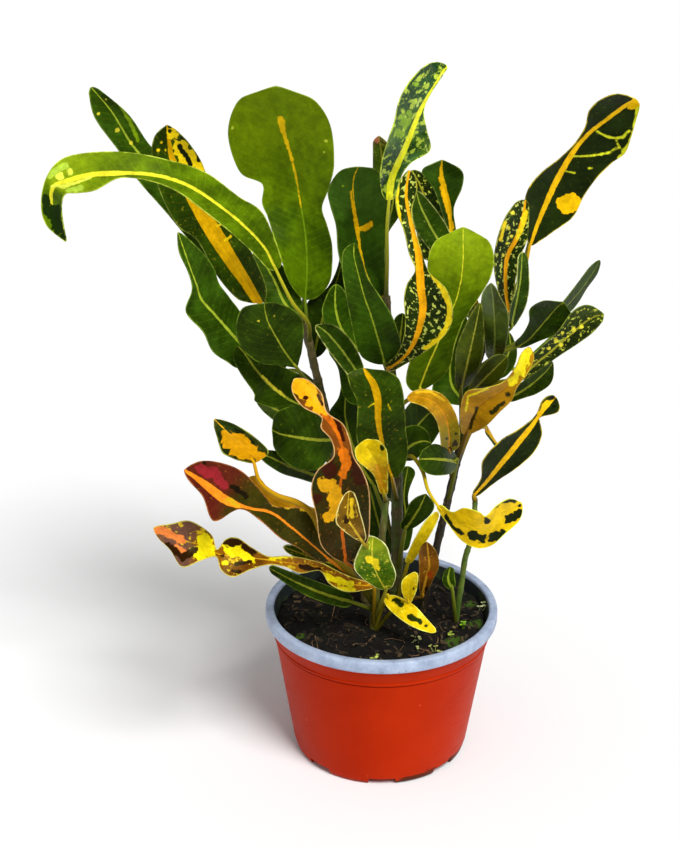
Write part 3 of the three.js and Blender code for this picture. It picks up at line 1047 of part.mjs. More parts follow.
const croton = new THREE.Group();
croton.add(partMesh("pot", geometryOf(makePot()), "#b8330a", 0.45));
croton.add(partMesh("potting_mix", geometryOf(makeSoil()), "#241a12", 0.95));
for (const [name, stem] of Object.entries(STEMS)) {
  croton.add(partMesh(name, geometryOf(makeShoot(name)), stem.colour, 0.4));
}

export default croton;
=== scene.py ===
"""A potted croton: its pot, mix, stems, leaves and seedlings, dressed for a studio picture.

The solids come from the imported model. Every piece is built around them in metres, in their
frame: +Z up, the origin in the middle of the pot's underside, the plant's face seen along +Y.
"""

import math

import bmesh
import bpy
import numpy as np
from bpy.props import FloatProperty, FloatVectorProperty, IntProperty, PointerProperty
from mathutils import Matrix, Vector


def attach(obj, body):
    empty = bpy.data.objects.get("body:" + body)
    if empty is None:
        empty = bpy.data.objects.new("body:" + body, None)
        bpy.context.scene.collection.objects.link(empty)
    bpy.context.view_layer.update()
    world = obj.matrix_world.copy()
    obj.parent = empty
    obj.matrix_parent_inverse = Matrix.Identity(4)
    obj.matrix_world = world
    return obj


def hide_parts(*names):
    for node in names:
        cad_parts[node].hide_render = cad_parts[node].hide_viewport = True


bl_info = {
    "name": "Potted croton",
    "version": (1, 0, 0),
    "blender": (4, 5, 0),
    "location": "3D View > Sidebar > Croton",
    "description": "Builds a potted croton and a small studio around its solids",
    "category": "Add Mesh",
}

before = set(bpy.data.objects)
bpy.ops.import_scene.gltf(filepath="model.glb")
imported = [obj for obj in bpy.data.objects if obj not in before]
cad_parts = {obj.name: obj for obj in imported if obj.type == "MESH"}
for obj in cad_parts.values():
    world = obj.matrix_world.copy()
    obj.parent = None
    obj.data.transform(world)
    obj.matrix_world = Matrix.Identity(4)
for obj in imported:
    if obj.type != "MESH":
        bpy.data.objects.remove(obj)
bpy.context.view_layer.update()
MM = 0.001

# ---------------------------------------------------------------- the view and the layout
# Stems and leaves are laid out on the view as (column, row, depth): column and row are the
# place in the 680 x 850 view, and depth is the point's Y in millimetres.

VIEW_EYE = np.array((-25.0, -787.0, 530.0))
VIEW_PITCH = math.radians(22.14)
VIEW_FOCAL = 1476.0
VIEW_COLUMN = 340.0
VIEW_ROW = 425.0
VIEW_HEIGHT = 850.0
PIXEL_MM = 0.58

STEM_FOOT = 62.0
SOIL_TOP = 85.0

# foot: where the stem stands in the mix (x, y) in mm. radii: at its foot and at its top, in mm.
STEMS = {
    "left_shoot": {
        "foot": (-9, 13), "radii": (3.4, 2.2), "path": (
            (362, 560, 14), (352, 520, 12), (338, 470, 12), (325, 410, 12), (313, 360, 12),
            (305, 322, 12))},
    "centre_shoot": {
        "foot": (8, 3), "radii": (4.2, 2.4), "path": (
            (397, 560, 4), (397, 500, 4), (397, 440, 6), (393, 390, 8), (388, 340, 11),
            (386, 296, 13))},
    "right_shoot": {
        "foot": (25, 1), "radii": (2.6, 2.0), "path": (
            (437, 545, 0), (446, 508, 0), (455, 470, 0), (462, 435, 0), (469, 400, 2),
            (479, 360, 5), (491, 326, 8))},
    "front_shoot": {
        "foot": (-5, -17), "radii": (2.6, 1.9), "path": (
            (378, 570, -17), (381, 545, -17), (384, 520, -16), (386, 500, -15))},
    "small_shoot": {
        "foot": (45, -10), "radii": (1.9, 1.5), "path": (
            (465, 560, -11), (471, 540, -12), (474, 518, -14), (475, 500, -16))},
}

# Each stem's leaves. at: the place on the stem, 0 at its foot and 1 at its top. cup: how far the
# edges stand towards the viewer, in mm. tilt: turn of the blade about its rib, as depth over
# breadth. wave: the edges' (height in mm, waves, phase). stalk: the bare stalk's bends. outline:
# stations from base to tip, each the left edge (column, row), the midrib (column, row, depth)
# and the right edge (column, row).
LEAF_WORDS = ("at", "look", "cup", "tilt", "wave", "stalk", "outline")
LEAF_ROWS = {
    "left_shoot": {
        "far_left_dark": (1.0, "green", 3, (0.3, 0.5, 0.4), (0.8, 3, 0.0), ((275, 306, 18),), (
            (243,292, 250,295,26, 257,290), (205,258, 220,258,38, 235,250),
            (165,211, 180,205,46, 198,200), (138,180, 155,172,48, 172,168),
            (118,150, 131,143,46, 149,144), (95,118, 112,112,40, 128,114),
            (88,90, 91,87,34, 95,86))),
        "left_orange_rib": (0.97, "orange_rib", 4, (-0.2, 0.3, 0.4), (1.0, 3, 1.0),
            ((280, 312, 10),), (
            (246,305, 259,303,14, 270,303), (232,294, 245,280,17, 263,277),
            (216,274, 230,258,19, 250,250), (197,240, 211,228,21, 232,222),
            (178,226, 196,204,21, 218,198), (160,192, 182,180,20, 208,178),
            (152,158, 172,158,18, 201,161), (154,138, 169,142,16, 188,142),
            (164,126, 167,125,13, 172,126))),
        "left_arching": (0.93, "bright", 2, (0.2, 0.7, 0.7, 0.1), (0.9, 4, 0.5),
            ((308, 323, 2), (292, 302, -2)), (
            (270,272, 276,270,-5, 284,266), (252,252, 264,247,-10, 276,243),
            (230,232, 241,223,-16, 262,212), (205,212, 217,204,-22, 238,196),
            (178,192, 190,187,-27, 205,172), (150,181, 160,177,-32, 165,159),
            (120,178, 125,174,-36, 125,152), (96,190, 92,175,-39, 85,153),
            (78,193, 66,182,-41, 60,160), (66,194, 53,188,-42, 46,178),
            (62,204, 52,203,-42, 41,203), (63,220, 55,220,-42, 46,225),
            (67,241, 66,242,-41, 65,242))),
        "tall_spoon": (0.99, "olive", 4, (0.3, -0.2, -0.3), (1.2, 3, 0.0), ((306, 314, 16),), (
            (289,292, 305,300,20, 328,300), (283,265, 307,270,23, 332,270),
            (274,238, 306,240,26, 332,245), (268,218, 303,218,28, 327,225),
            (262,203, 300,200,30, 322,208), (262,184, 296,182,30, 328,190),
            (240,172, 292,160,28, 334,165), (228,135, 286,132,24, 331,128),
            (236,104, 280,106,17, 318,104), (256,89, 276,86,8, 298,90))),
        "left_green": (0.74, "green", 3, (0.2, 0.5, 0.3), (1.2, 4, 0.8),
            ((290, 392, -4), (268, 378, -10)), (
            (243,376, 252,362,-16, 262,350), (230,364, 243,347,-21, 250,332),
            (213,352, 230,332,-26, 241,313), (203,332, 215,315,-30, 230,298),
            (186,312, 201,299,-33, 219,283), (192,290, 196,284,-35, 214,268),
            (188,272, 190,268,-36, 204,254), (179,252, 184,250,-36, 192,242),
            (177,234, 178,232,-34, 180,232))),
        "left_dark_round": (0.8, "dark", 4, (0.2, 0.3), (1.0, 3, 0.4), ((306, 380, -4),), (
            (284,366, 297,368,-26, 300,360), (258,362, 285,352,-34, 303,342),
            (240,345, 276,337,-39, 303,324), (236,325, 268,322,-42, 295,311),
            (243,308, 265,311,-43, 280,304), (262,303, 264,303,-43, 266,302))),
        "left_dark_low": (0.68, "dark", 3, (0.4, 0.4), (1.0, 3, 1.4), ((318, 414, 0),), (
            (296,410, 306,407,-8, 314,398), (275,408, 290,400,-14, 304,378),
            (256,402, 273,388,-19, 290,370), (254,393, 260,375,-23, 275,363),
            (241,374, 251,363,-25, 262,355), (233,358, 245,354,-26, 252,349),
            (234,347, 238,346,-26, 242,346))),
        "left_dark_droop": (0.58, "dark", 4, (0.5, 0.5), (1.0, 3, 0.0), (), (
            (333,458, 336,440,-10, 332,424), (315,470, 318,440,-22, 320,412),
            (295,468, 302,438,-30, 303,405), (281,458, 290,436,-35, 288,407),
            (274,447, 280,434,-38, 276,413), (272,437, 272,430,-39, 271,424))),
        "left_low_dark": (0.46, "dark", 2, (0.5, 0.5), (0.6, 3, 0.0), (), (
            (322,486, 326,479,-10, 330,470), (300,479, 305,472,-24, 308,464),
            (283,474, 288,466,-36, 292,458), (268,465, 272,458,-44, 276,451),
            (258,456, 258,453,-48, 259,450))),
        "back_left_high": (0.95, "green", 3, (-0.4, -0.4), (1.0, 3, 0.3), ((285, 308, 28),), (
            (262,304, 268,300,39, 274,296), (238,272, 245,266,53, 255,260),
            (216,240, 225,235,62, 234,230), (203,214, 206,211,67, 210,209))),
        "back_left_spoon": (0.98, "olive", -4, (0.3, 0.3), (1.0, 3, 0.6), ((304, 298, 28),), (
            (296,278, 303,278,38, 310,278), (285,240, 299,240,49, 314,240),
            (276,200, 295,200,58, 313,200), (264,160, 291,160,63, 318,160),
            (272,124, 286,122,66, 300,124))),
        "back_left_side": (0.8, "dark", -3, (-0.5, -0.5), (1.0, 3, 0.9), ((300, 372, 26),), (
            (278,376, 284,370,38, 290,362), (250,352, 258,346,53, 268,334),
            (228,332, 236,324,63, 246,315), (208,306, 212,302,68, 216,299))),
        "back_left_low": (0.6, "dark", -3, (-0.5, -0.5), (1.0, 3, 1.2), ((320, 450, 26),), (
            (306,462, 310,448,41, 312,434), (292,458, 300,440,55, 306,422),
            (284,444, 292,430,67, 300,416), (282,428, 286,420,74, 292,414))),
        "back_left_base": (0.36, "yellow_dark", -3, (-0.4, -0.4), (0.8, 3, 0.1), ((350, 530, 26),),
            (
            (336,530, 342,524,38, 350,520), (328,514, 338,506,54, 348,502),
            (322,498, 334,490,65, 346,486), (324,482, 332,476,73, 340,474))),
        "left_inner": (0.94, "green", 2, (0.3, 0.3), (0.8, 3, 0.2), (), (
            (294,330, 302,326,16, 308,318), (272,312, 284,302,20, 300,296),
            (262,292, 275,282,24, 290,276), (254,270, 265,264,27, 277,260),
            (252,252, 254,249,29, 258,248))),
        "left_inner_tall": (0.88, "dark", 2, (0.3, 0.3), (0.7, 3, 0.5), (), (
            (306,352, 313,358,22, 322,358), (303,328, 318,335,26, 331,338),
            (308,302, 326,308,31, 342,312), (328,287, 336,282,36, 347,288),
            (339,262, 342,258,40, 346,260), (339,238, 342,236,43, 345,236))),
        "left_inner_low": (0.62, "dark", 2, (0.4, 0.4), (0.6, 3, 0.9), (), (
            (300,430, 304,420,14, 306,410), (280,424, 286,414,17, 290,401),
            (266,414, 271,407,19, 273,396), (256,403, 256,400,20, 258,396))),
    },
    "centre_shoot": {
        "dark_spoon": (1.0, "dark_spoon", 4, (0.3, -0.2), (1.0, 3, 0.2), (), (
            (362,300, 378,300,14, 391,300), (345,276, 366,276,18, 387,276),
            (338,252, 360,250,21, 385,250), (336,226, 358,228,22, 390,224),
            (330,205, 355,208,21, 389,205), (328,190, 353,190,18, 386,186),
            (337,174, 354,177,14, 379,172), (349,166, 358,167,8, 368,166))),
        "plain_strap": (0.8, "green", 3, (-0.3, 0.2), (0.9, 3, 0.9), (), (
            (368,366, 385,364,-10, 401,360), (357,348, 379,342,-20, 400,340),
            (351,322, 372,318,-27, 393,318), (346,296, 364,295,-32, 381,298),
            (342,270, 358,272,-35, 368,278), (343,252, 354,256,-36, 362,260),
            (351,243, 354,243,-35, 357,243))),
        "top_twisted": (1.0, "glossy", 3, (0.2, 0.8, 0.5, 0.2), (1.0, 4, 0.0),
            ((387, 262, 11), (387, 228, 8)), (
            (383,200, 389,200,5, 396,200), (380,180, 391,180,2, 400,180),
            (382,160, 398,162,-2, 410,164), (388,140, 406,145,-5, 430,150),
            (394,122, 413,127,-7, 427,130), (398,104, 421,108,-8, 424,110),
            (404,90, 429,94,-8, 432,92), (413,77, 436,83,-7, 439,81), (428,64, 442,73,-4, 444,74),
            (443,61, 447,66,0, 448,68))),
        "small_top": (0.98, "pink", 2, (0.5, 0.3), (0.5, 3, 0), ((384, 278, 22),), (
            (379,250, 383,250,27, 387,250), (376,215, 383,215,30, 389,215),
            (373,185, 384,185,30, 394,185), (373,160, 382,160,28, 395,163),
            (373,138, 379,136,22, 386,139))),
        "speckled_curl": (0.76, "speckled", 3, (0.2, -0.3, 0.4), (0.8, 4, 0.0), (), (
            (384,366, 388,369,-12, 392,372), (398,352, 404,357,-24, 412,360),
            (404,335, 414,342,-31, 432,347), (405,318, 420,325,-36, 448,331),
            (404,298, 423,308,-38, 453,312), (407,284, 421,290,-38, 446,289),
            (415,270, 420,270,-35, 429,272), (409,254, 418,250,-31, 421,250),
            (404,232, 413,230,-26, 415,230), (397,212, 408,210,-21, 412,210),
            (396,194, 406,192,-17, 417,190), (403,173, 409,170,-13, 415,172))),
        "round_spoon": (0.7, "bright", 3, (-0.2, 0.2), (1.0, 3, 0.0), (), (
            (405,392, 418,392,-8, 436,386), (407,372, 427,368,-14, 450,366),
            (413,352, 437,345,-18, 455,344), (422,330, 447,322,-20, 464,320),
            (430,305, 456,300,-21, 480,296), (428,280, 461,280,-21, 491,276),
            (428,260, 463,260,-20, 494,258), (434,243, 463,243,-17, 490,243),
            (449,230, 463,227,-12, 477,230))),
        "front_orange_rib": (0.5, "orange_rib", 3, (0.2, -0.2), (1.0, 3, 0.4), (), (
            (380,480, 392,478,-22, 402,476), (366,462, 386,458,-32, 408,452),
            (357,440, 381,438,-40, 406,430), (357,420, 378,418,-45, 405,410),
            (357,402, 378,400,-48, 403,392), (350,386, 374,385,-49, 398,378),
            (348,374, 368,375,-48, 386,371), (356,368, 364,368,-46, 373,368))),
        "pale_edged_upper": (0.82, "green", 2, (0.3, 0.3), (0.6, 3, 0), (), (
            (350,352, 358,350,8, 362,342), (328,330, 342,330,8, 354,325),
            (322,312, 336,312,9, 351,310), (326,297, 335,297,10, 347,296),
            (332,285, 336,284,11, 340,284))),
        "pale_edged_lower": (0.72, "pale_edge", 2, (0.2, 0.4), (0.6, 3, 0), ((378, 388, -2),), (
            (356,385, 362,380,-8, 366,372), (342,368, 349,360,-12, 358,352),
            (328,350, 337,344,-15, 349,338), (318,335, 326,332,-17, 336,326),
            (314,327, 316,325,-18, 320,323))),
        "small_dark_centre": (0.54, "dark", 3, (-0.4, -0.4), (0.5, 2, 0), (), (
            (398,440, 400,455,-8, 404,465), (403,429, 408,448,-12, 414,460),
            (416,425, 416,443,-15, 422,455), (427,431, 424,441,-16, 429,451),
            (431,441, 431,443,-16, 432,446))),
        "low_dark_round": (0.34, "dark", 3, (-0.4, -0.4), (0.5, 2, 0), (), (
            (398,528, 405,530,-8, 412,530), (405,515, 414,517,-14, 427,518),
            (410,503, 421,505,-18, 434,508), (420,494, 426,494,-20, 432,498))),
        "low_narrow": (0.23, "yellow", 1, (0.5, 0.5), (0.2, 2, 0), (), (
            (404,562, 408,563,-10, 412,563), (414,540, 419,543,-16, 424,545),
            (426,520, 430,523,-20, 435,526), (436,511, 438,512,-22, 440,514))),
        "low_mustard": (0.2, "maroon", 3, (0.3, 0.3), (0.5, 2, 0), ((412, 600, -6),), (
            (420,596, 422,597,-14, 424,596), (419,582, 425,582,-20, 433,580),
            (419,565, 429,566,-24, 439,566), (419,552, 428,553,-26, 437,553),
            (424,542, 427,542,-27, 430,543))),
        "yellow_curl": (0.56, "yellow_dark", 3, (0.5, 0.7, 0.5), (0.6, 4, 0), ((410, 456, -14),
            (422, 470, -28), (428, 490, -37)), (
            (441,504, 438,506,-42, 436,508), (452,512, 450,518,-48, 448,524),
            (464,508, 463,526,-52, 461,540), (479,512, 477,531,-54, 477,548),
            (486,516, 490,528,-54, 492,545), (496,506, 501,519,-53, 506,533),
            (508,499, 513,509,-51, 519,521), (519,500, 522,503,-48, 524,508))),
        "back_centre_high": (0.97, "green", -3, (0.4, 0.4), (0.9, 3, 0.3), ((380, 292, 26),), (
            (366,276, 372,274,37, 378,272), (354,250, 364,248,48, 375,246),
            (346,222, 359,220,55, 374,220), (350,194, 358,192,59, 368,194))),
        "back_centre_arch": (0.76, "bright", -3, (0.2, 0.3), (0.9, 3, 0.5), ((382, 358, 26),), (
            (366,346, 373,344,43, 382,342), (356,326, 368,322,60, 382,320),
            (354,316, 368,312,76, 384,314), (358,324, 371,320,90, 386,324),
            (368,348, 376,346,99, 384,346))),
        "back_centre_low": (0.5, "orange_rib", -3, (0.3, 0.3), (1.0, 3, 0.8), ((386, 440, 23),), (
            (370,438, 378,434,39, 388,432), (360,420, 374,416,55, 390,414),
            (362,404, 372,401,68, 388,399), (364,390, 372,386,76, 382,386))),
        "back_centre_base": (0.36, "dark", -2, (0.3, 0.3), (0.7, 3, 0.8), ((394, 506, 23),), (
            (380,500, 386,500,37, 392,500), (374,484, 383,482,53, 393,482),
            (376,468, 382,466,63, 389,467))),
        "centre_inner_dark": (0.4, "dark", 2, (-0.3, -0.3), (0.8, 3, 0.3), (), (
            (362,490, 374,486,16, 382,476), (346,464, 360,462,20, 373,450),
            (334,438, 350,436,24, 365,425), (329,414, 345,412,28, 360,405),
            (339,396, 347,388,32, 358,385), (343,370, 349,368,35, 353,368))),
        "centre_inner_band": (0.68, "green", 1, (-0.3, -0.3), (0.5, 3, 0.3), (), (
            (356,410, 366,402,12, 374,396), (343,394, 352,384,17, 361,376),
            (338,368, 341,360,23, 349,354), (326,350, 331,346,27, 336,342))),
        "centre_inner_top": (0.96, "dark", 2, (0.3, 0.3), (0.7, 3, 0.7), ((380, 288, 22),), (
            (371,268, 377,268,27, 382,266), (372,240, 382,240,31, 387,236),
            (380,212, 390,215,35, 399,216), (388,194, 394,196,38, 402,196),
            (393,180, 396,179,40, 400,181))),
        "centre_inner_right": (0.7, "dark", 1, (0.3, 0.3), (0.5, 3, 0.1), (), (
            (388,368, 394,370,15, 401,368), (391,348, 398,350,18, 407,350),
            (392,328, 401,330,21, 409,332), (397,313, 403,313,23, 408,316))),
        "centre_inner_low": (0.52, "dark", 2, (0.4, 0.4), (0.6, 3, 0.6), (), (
            (398,436, 403,446,20, 408,454), (402,416, 414,430,24, 428,447),
            (414,400, 426,416,28, 440,430), (432,397, 440,405,31, 446,411))),
        "low_inner": (0.24, "dark", 1, (0.3, 0.3), (0.5, 3, 0.2), (), (
            (397,546, 402,550,14, 408,552), (399,520, 406,522,18, 413,526),
            (399,492, 404,493,22, 408,496), (400,466, 408,466,25, 418,468))),
        "low_inner_left": (0.2, "dark", 2, (-0.3, -0.3), (0.7, 3, 0.4), (), (
            (381,560, 389,556,14, 395,550), (368,530, 379,524,19, 389,516),
            (360,497, 371,492,24, 383,486), (358,466, 367,462,27, 376,460))),
    },
    "right_shoot": {
        "far_right_dark": (1.0, "vein_dark", 4, (0.4, 0.2, 0.3), (1.0, 4, 0.0), ((508, 318, 10),
            (519, 288, 13), (526, 264, 15)), (
            (528,243, 530,245,16, 533,246), (523,220, 537,225,17, 553,232),
            (527,192, 546,203,17, 573,217), (540,174, 556,181,16, 584,196),
            (560,158, 567,161,14, 596,179), (575,143, 579,143,12, 612,163),
            (585,127, 592,130,10, 625,153), (589,111, 604,121,7, 631,138),
            (600,100, 616,112,4, 636,121), (616,94, 626,105,1, 639,110),
            (634,97, 637,100,-2, 640,102))),
        "right_mottled": (0.97, "speckled", 3, (0.5, 0.6), (0.7, 3, 0.7), (), (
            (506,314, 509,316,2, 512,316), (499,294, 506,296,-4, 514,297),
            (495,276, 505,276,-8, 516,278), (494,258, 507,256,-10, 520,258),
            (498,236, 516,238,-11, 527,240), (506,216, 522,220,-11, 529,220),
            (519,198, 525,200,-9, 529,200))),
        "right_brown_twist": (0.93, "pale_edge", 2, (0.6, 0.8), (0.5, 3, 0), ((500, 336, -6),), (
            (508,326, 511,328,-12, 515,326), (510,308, 515,308,-18, 525,308),
            (516,288, 519,288,-21, 529,290), (517,270, 521,270,-22, 529,272),
            (518,254, 522,252,-22, 527,252))),
        "right_dark_spoon": (0.74, "dark", 3, (0.3, 0.4), (0.8, 3, 0.2),
            ((482, 369, -8), (500, 354, -14)), (
            (513,343, 517,347,-18, 521,349), (522,335, 528,340,-22, 537,342),
            (529,322, 539,328,-26, 554,335), (530,309, 550,315,-29, 566,325),
            (543,301, 558,306,-31, 571,315), (558,301, 564,302,-32, 568,306))),
        "right_edge_on": (0.86, "dark", 1, (1.2, 1.6, 1.2), (0.5, 3, 0), ((510, 346, 2),), (
            (534,336, 540,334,2, 546,332), (558,308, 565,308,4, 573,309),
            (577,284, 582,288,6, 587,288), (589,268, 593,272,7, 597,274),
            (598,260, 600,260,7, 601,262))),
        "right_blotched": (0.7, "blotched", 3, (0.3, 0.5), (0.8, 3, 0.6), ((492, 386, -14),), (
            (513,377, 517,380,-26, 521,382), (527,360, 534,365,-32, 541,369),
            (543,345, 551,351,-36, 559,356), (558,331, 567,337,-39, 576,345),
            (572,312, 581,325,-41, 590,335), (586,305, 593,317,-42, 600,325),
            (600,309, 604,314,-42, 605,318))),
        "right_teal": (0.66, "dark", 3, (0.4, 0.5), (0.7, 3, 0.3), ((488, 401, -6),), (
            (503,395, 506,399,-12, 509,403), (517,386, 520,392,-15, 524,398),
            (532,374, 534,382,-17, 538,393), (545,363, 546,371,-18, 551,383),
            (551,360, 553,362,-18, 555,368))),
        "right_mustard": (0.58, "mustard", 3, (0.2, 0.5), (1.0, 3, 0.0), (), (
            (461,434, 466,434,-12, 471,434), (460,412, 473,415,-28, 486,426),
            (466,392, 484,402,-40, 500,412), (485,388, 499,393,-48, 512,400),
            (503,382, 511,382,-53, 517,388), (515,368, 521,369,-56, 528,373),
            (521,354, 527,357,-57, 534,359), (528,346, 530,347,-56, 532,348))),
        "orange_hook": (0.52, "orange", 3, (0.2, 0.5), (0.5, 3, 0), (), (
            (441,452, 449,452,-18, 459,450), (440,436, 449,434,-32, 460,432),
            (436,420, 445,416,-42, 455,412), (427,409, 434,402,-50, 443,395),
            (417,404, 420,397,-55, 424,389), (408,402, 407,398,-58, 408,393))),
        "small_dark_low": (0.46, "dark", 3, (0.3, 0.3), (0.5, 2, 0), (), (
            (456,472, 457,462,-10, 456,452), (445,475, 447,460,-22, 446,447),
            (432,475, 436,459,-29, 434,444), (422,470, 426,459,-33, 424,449),
            (418,463, 419,459,-35, 419,455))),
        "right_glossy": (0.76, "glossy_olive", 3, (-0.3, -0.3), (0.7, 3, 0.5), (), (
            (486,360, 494,360,-20, 503,358), (484,332, 495,334,-34, 508,334),
            (481,310, 494,312,-42, 508,313), (482,295, 493,297,-45, 501,298),
            (488,284, 491,283,-46, 494,284))),
        "right_olive_dark": (0.66, "olive_dark", 3, (0.3, 0.3), (0.7, 3, 0.9), (), (
            (455,388, 461,390,-20, 470,385), (455,366, 466,368,-32, 480,364),
            (457,346, 471,346,-39, 484,345), (467,322, 476,324,-43, 484,324),
            (477,304, 480,303,-45, 482,303))),
        "right_olive_low": (0.64, "olive_dark", 3, (0.3, 0.3), (0.6, 2, 0), (), (
            (466,390, 472,392,-24, 480,390), (478,372, 485,378,-32, 496,383),
            (490,358, 497,366,-37, 506,371), (502,353, 507,356,-40, 509,359))),
        "narrow_top": (0.9, "pale_edge", 2, (0.4, 0.3), (0.6, 3, 0), ((467, 300, 12),), (
            (440,262, 450,262,6, 460,258), (425,244, 438,240,4, 450,232),
            (415,228, 428,222,2, 440,215), (411,208, 420,205,0, 430,202),
            (413,193, 416,191,-2, 419,190))),
        "small_spoon": (0.96, "dark_spoon", 3, (0.3, 0.2), (0.6, 3, 0.3), ((474, 296, 18),), (
            (450,262, 455,262,20, 460,262), (447,232, 451,232,20, 456,230),
            (440,207, 449,207,18, 454,208), (433,188, 444,188,16, 462,188),
            (422,172, 441,172,14, 463,173), (432,162, 442,160,10, 452,162))),
        "back_right_high": (0.95, "olive", -3, (0.3, 0.3), (1.0, 3, 0.2), ((478, 322, 26),), (
            (462,320, 468,316,39, 476,312), (448,296, 462,292,53, 477,290),
            (442,272, 460,268,63, 479,266), (448,248, 459,246,69, 470,248))),
        "back_right_far": (0.99, "dark", -3, (-0.4, -0.4), (1.0, 3, 0.7),
            ((506, 312, 26), (520, 276, 39)), (
            (526,240, 530,238,50, 536,238), (536,208, 546,208,59, 556,212),
            (552,182, 565,182,64, 576,188), (576,156, 586,156,65, 592,160))),
        "back_right_side": (0.75, "green", -3, (-0.4, -0.4), (0.9, 3, 0.1), ((498, 374, 24),), (
            (520,364, 522,368,38, 526,372), (542,344, 546,350,50, 552,356),
            (562,326, 566,334,59, 572,341), (582,316, 586,320,64, 588,326))),
        "back_right_low": (0.55, "orange_rib", -2, (0.3, 0.3), (0.8, 3, 0.4), ((472, 430, 23),), (
            (486,424, 486,428,39, 484,432), (500,446, 504,450,57, 506,458),
            (512,440, 520,446,69, 524,452))),
        "right_inner_mid": (0.62, "green", 2, (0.3, 0.3), (0.7, 3, 0.8), (), (
            (456,408, 466,404,16, 474,398), (434,395, 452,386,20, 470,380),
            (435,378, 450,364,24, 465,360), (446,350, 456,340,28, 465,338),
            (460,318, 465,316,31, 468,317))),
        "right_inner_top": (0.92, "blotched", 2, (0.3, 0.3), (0.7, 3, 0.2),
            ((470, 296, 24), (450, 270, 26)), (
            (421,262, 430,260,26, 440,254), (416,228, 430,226,29, 444,222),
            (410,196, 423,193,32, 436,190), (406,173, 412,170,34, 418,168))),
        "right_inner_far": (0.72, "dark", 1, (0.3, 0.3), (0.5, 3, 0.3), (), (
            (487,370, 492,378,14, 500,382), (496,354, 504,362,17, 513,368),
            (502,342, 510,347,20, 517,352), (506,333, 509,332,22, 512,334))),
    },
    "front_shoot": {
        "left_yellow": (0.4, "yellow_patch", 3, (0.5, 0.5), (0.6, 3, 0.6), ((350, 572, -34),
            (328, 550, -48), (314, 517, -58), (298, 503, -62), (276, 495, -64), (260, 482, -64)), (
            (248,464, 254,463,-64, 264,460), (232,458, 245,450,-64, 268,450),
            (222,452, 235,440,-63, 252,435), (217,437, 225,430,-61, 236,425),
            (213,424, 214,419,-58, 217,418))),
        "red_fiddle": (0.45, "red", 3, (0.3, 0.5), (0.8, 4, 0.0), ((352, 576, -30),), (
            (322,565, 330,560,-48, 336,550), (300,549, 310,543,-57, 322,520),
            (280,538, 291,527,-64, 303,508), (262,522, 270,512,-69, 275,506),
            (240,509, 245,508,-73, 262,492), (214,521, 224,499,-76, 243,472),
            (203,497, 208,487,-78, 222,463), (190,482, 196,478,-79, 202,461),
            (184,473, 184,470,-79, 186,467))),
        "corkscrew": (0.3, "corkscrew", 2, (0.6, 0.5, -0.3, -0.2, 0.7, 0.6, 0.5, 0.6, 0.2, 0),
            (0.3, 3, 0), (), (
            (372,589, 374,586,-28, 373,583), (348,592, 350,584,-38, 352,577),
            (330,584, 332,576,-44, 336,570), (320,571, 318,567,-49, 322,563),
            (300,573, 302,565,-53, 303,558), (285,567, 285,562,-56, 286,556),
            (268,565, 268,560,-59, 268,556), (250,570, 252,558,-61, 253,548),
            (233,577, 236,556,-63, 238,538), (221,570, 224,555,-64, 226,539),
            (216,557, 216,553,-65, 217,549), (200,561, 200,545,-66, 211,534),
            (182,567, 182,540,-67, 190,521), (170,550, 167,533,-66, 170,524),
            (155,536, 153,528,-64, 154,526))),
        "long_twist": (0.55, "red_orange", 3, (0.2, -0.2, 0.4, 0.8), (0.6, 4, 0.3),
            ((362, 570, -40),), (
            (338,562, 346,562,-56, 356,560), (321,545, 343,540,-66, 368,540),
            (316,515, 341,515,-72, 370,515), (311,490, 340,492,-76, 369,490),
            (317,471, 342,473,-79, 363,472), (333,457, 344,457,-80, 354,457),
            (331,440, 340,440,-80, 350,440), (321,428, 333,426,-78, 343,424),
            (321,417, 324,414,-76, 327,412), (303,407, 312,398,-72, 322,394),
            (293,394, 302,387,-68, 310,381), (291,382, 294,379,-64, 297,377))),
        "small_loop": (0.7, "pale_edge_brown", 4, (0.2, 0.2), (0.3, 3, 0),
            ((372, 548, -46), (366, 546, -66)), (
            (358,541, 362,541,-84, 367,540), (344,531, 355,530,-89, 364,526),
            (336,522, 348,519,-91, 360,512), (338,508, 348,506,-90, 357,500),
            (345,492, 349,491,-86, 353,490))),
        "yellow_head": (1.0, "yellow", 4, (0.2, 0.2), (0.4, 3, 0), (), (
            (380,494, 384,494,-36, 388,494), (374,476, 381,476,-50, 388,476),
            (366,468, 376,462,-58, 388,460), (357,460, 370,452,-61, 386,449),
            (355,450, 366,446,-62, 379,441), (360,441, 367,439,-61, 371,438))),
        "green_cup": (0.34, "green_yellow", 5, (0.2, 0.2), (0.4, 3, 0), (), (
            (380,590, 386,590,-36, 392,588), (362,578, 378,576,-50, 396,575),
            (354,566, 373,562,-58, 391,560), (360,548, 372,548,-61, 387,547),
            (368,534, 373,536,-60, 378,537))),
        "low_yellow": (0.27, "yellow", 2, (-0.3, -0.3), (0.3, 2, 0), ((398, 604, -26),), (
            (406,602, 408,603,-32, 411,603), (402,592, 409,592,-36, 416,592),
            (402,581, 410,582,-39, 418,581), (410,573, 414,572,-40, 418,572))),
        "soil_yellow": (0.25, "yellow", -1, (-0.6, -0.6), (0.3, 2, 0), (), (
            (390,594, 386,597,-26, 382,601), (402,598, 397,606,-32, 393,613),
            (415,606, 410,614,-38, 406,623), (427,619, 423,624,-43, 420,630),
            (437,630, 436,632,-47, 434,634))),
        "yellow_shoulder": (0.42, "mustard", 1, (0.2, 0.2), (0.4, 3, 0.3), (), (
            (324,530, 330,522,-22, 334,515), (302,521, 307,514,-25, 311,507),
            (282,512, 286,506,-28, 291,501), (264,500, 268,496,-31, 273,493),
            (244,478, 251,476,-33, 257,474))),
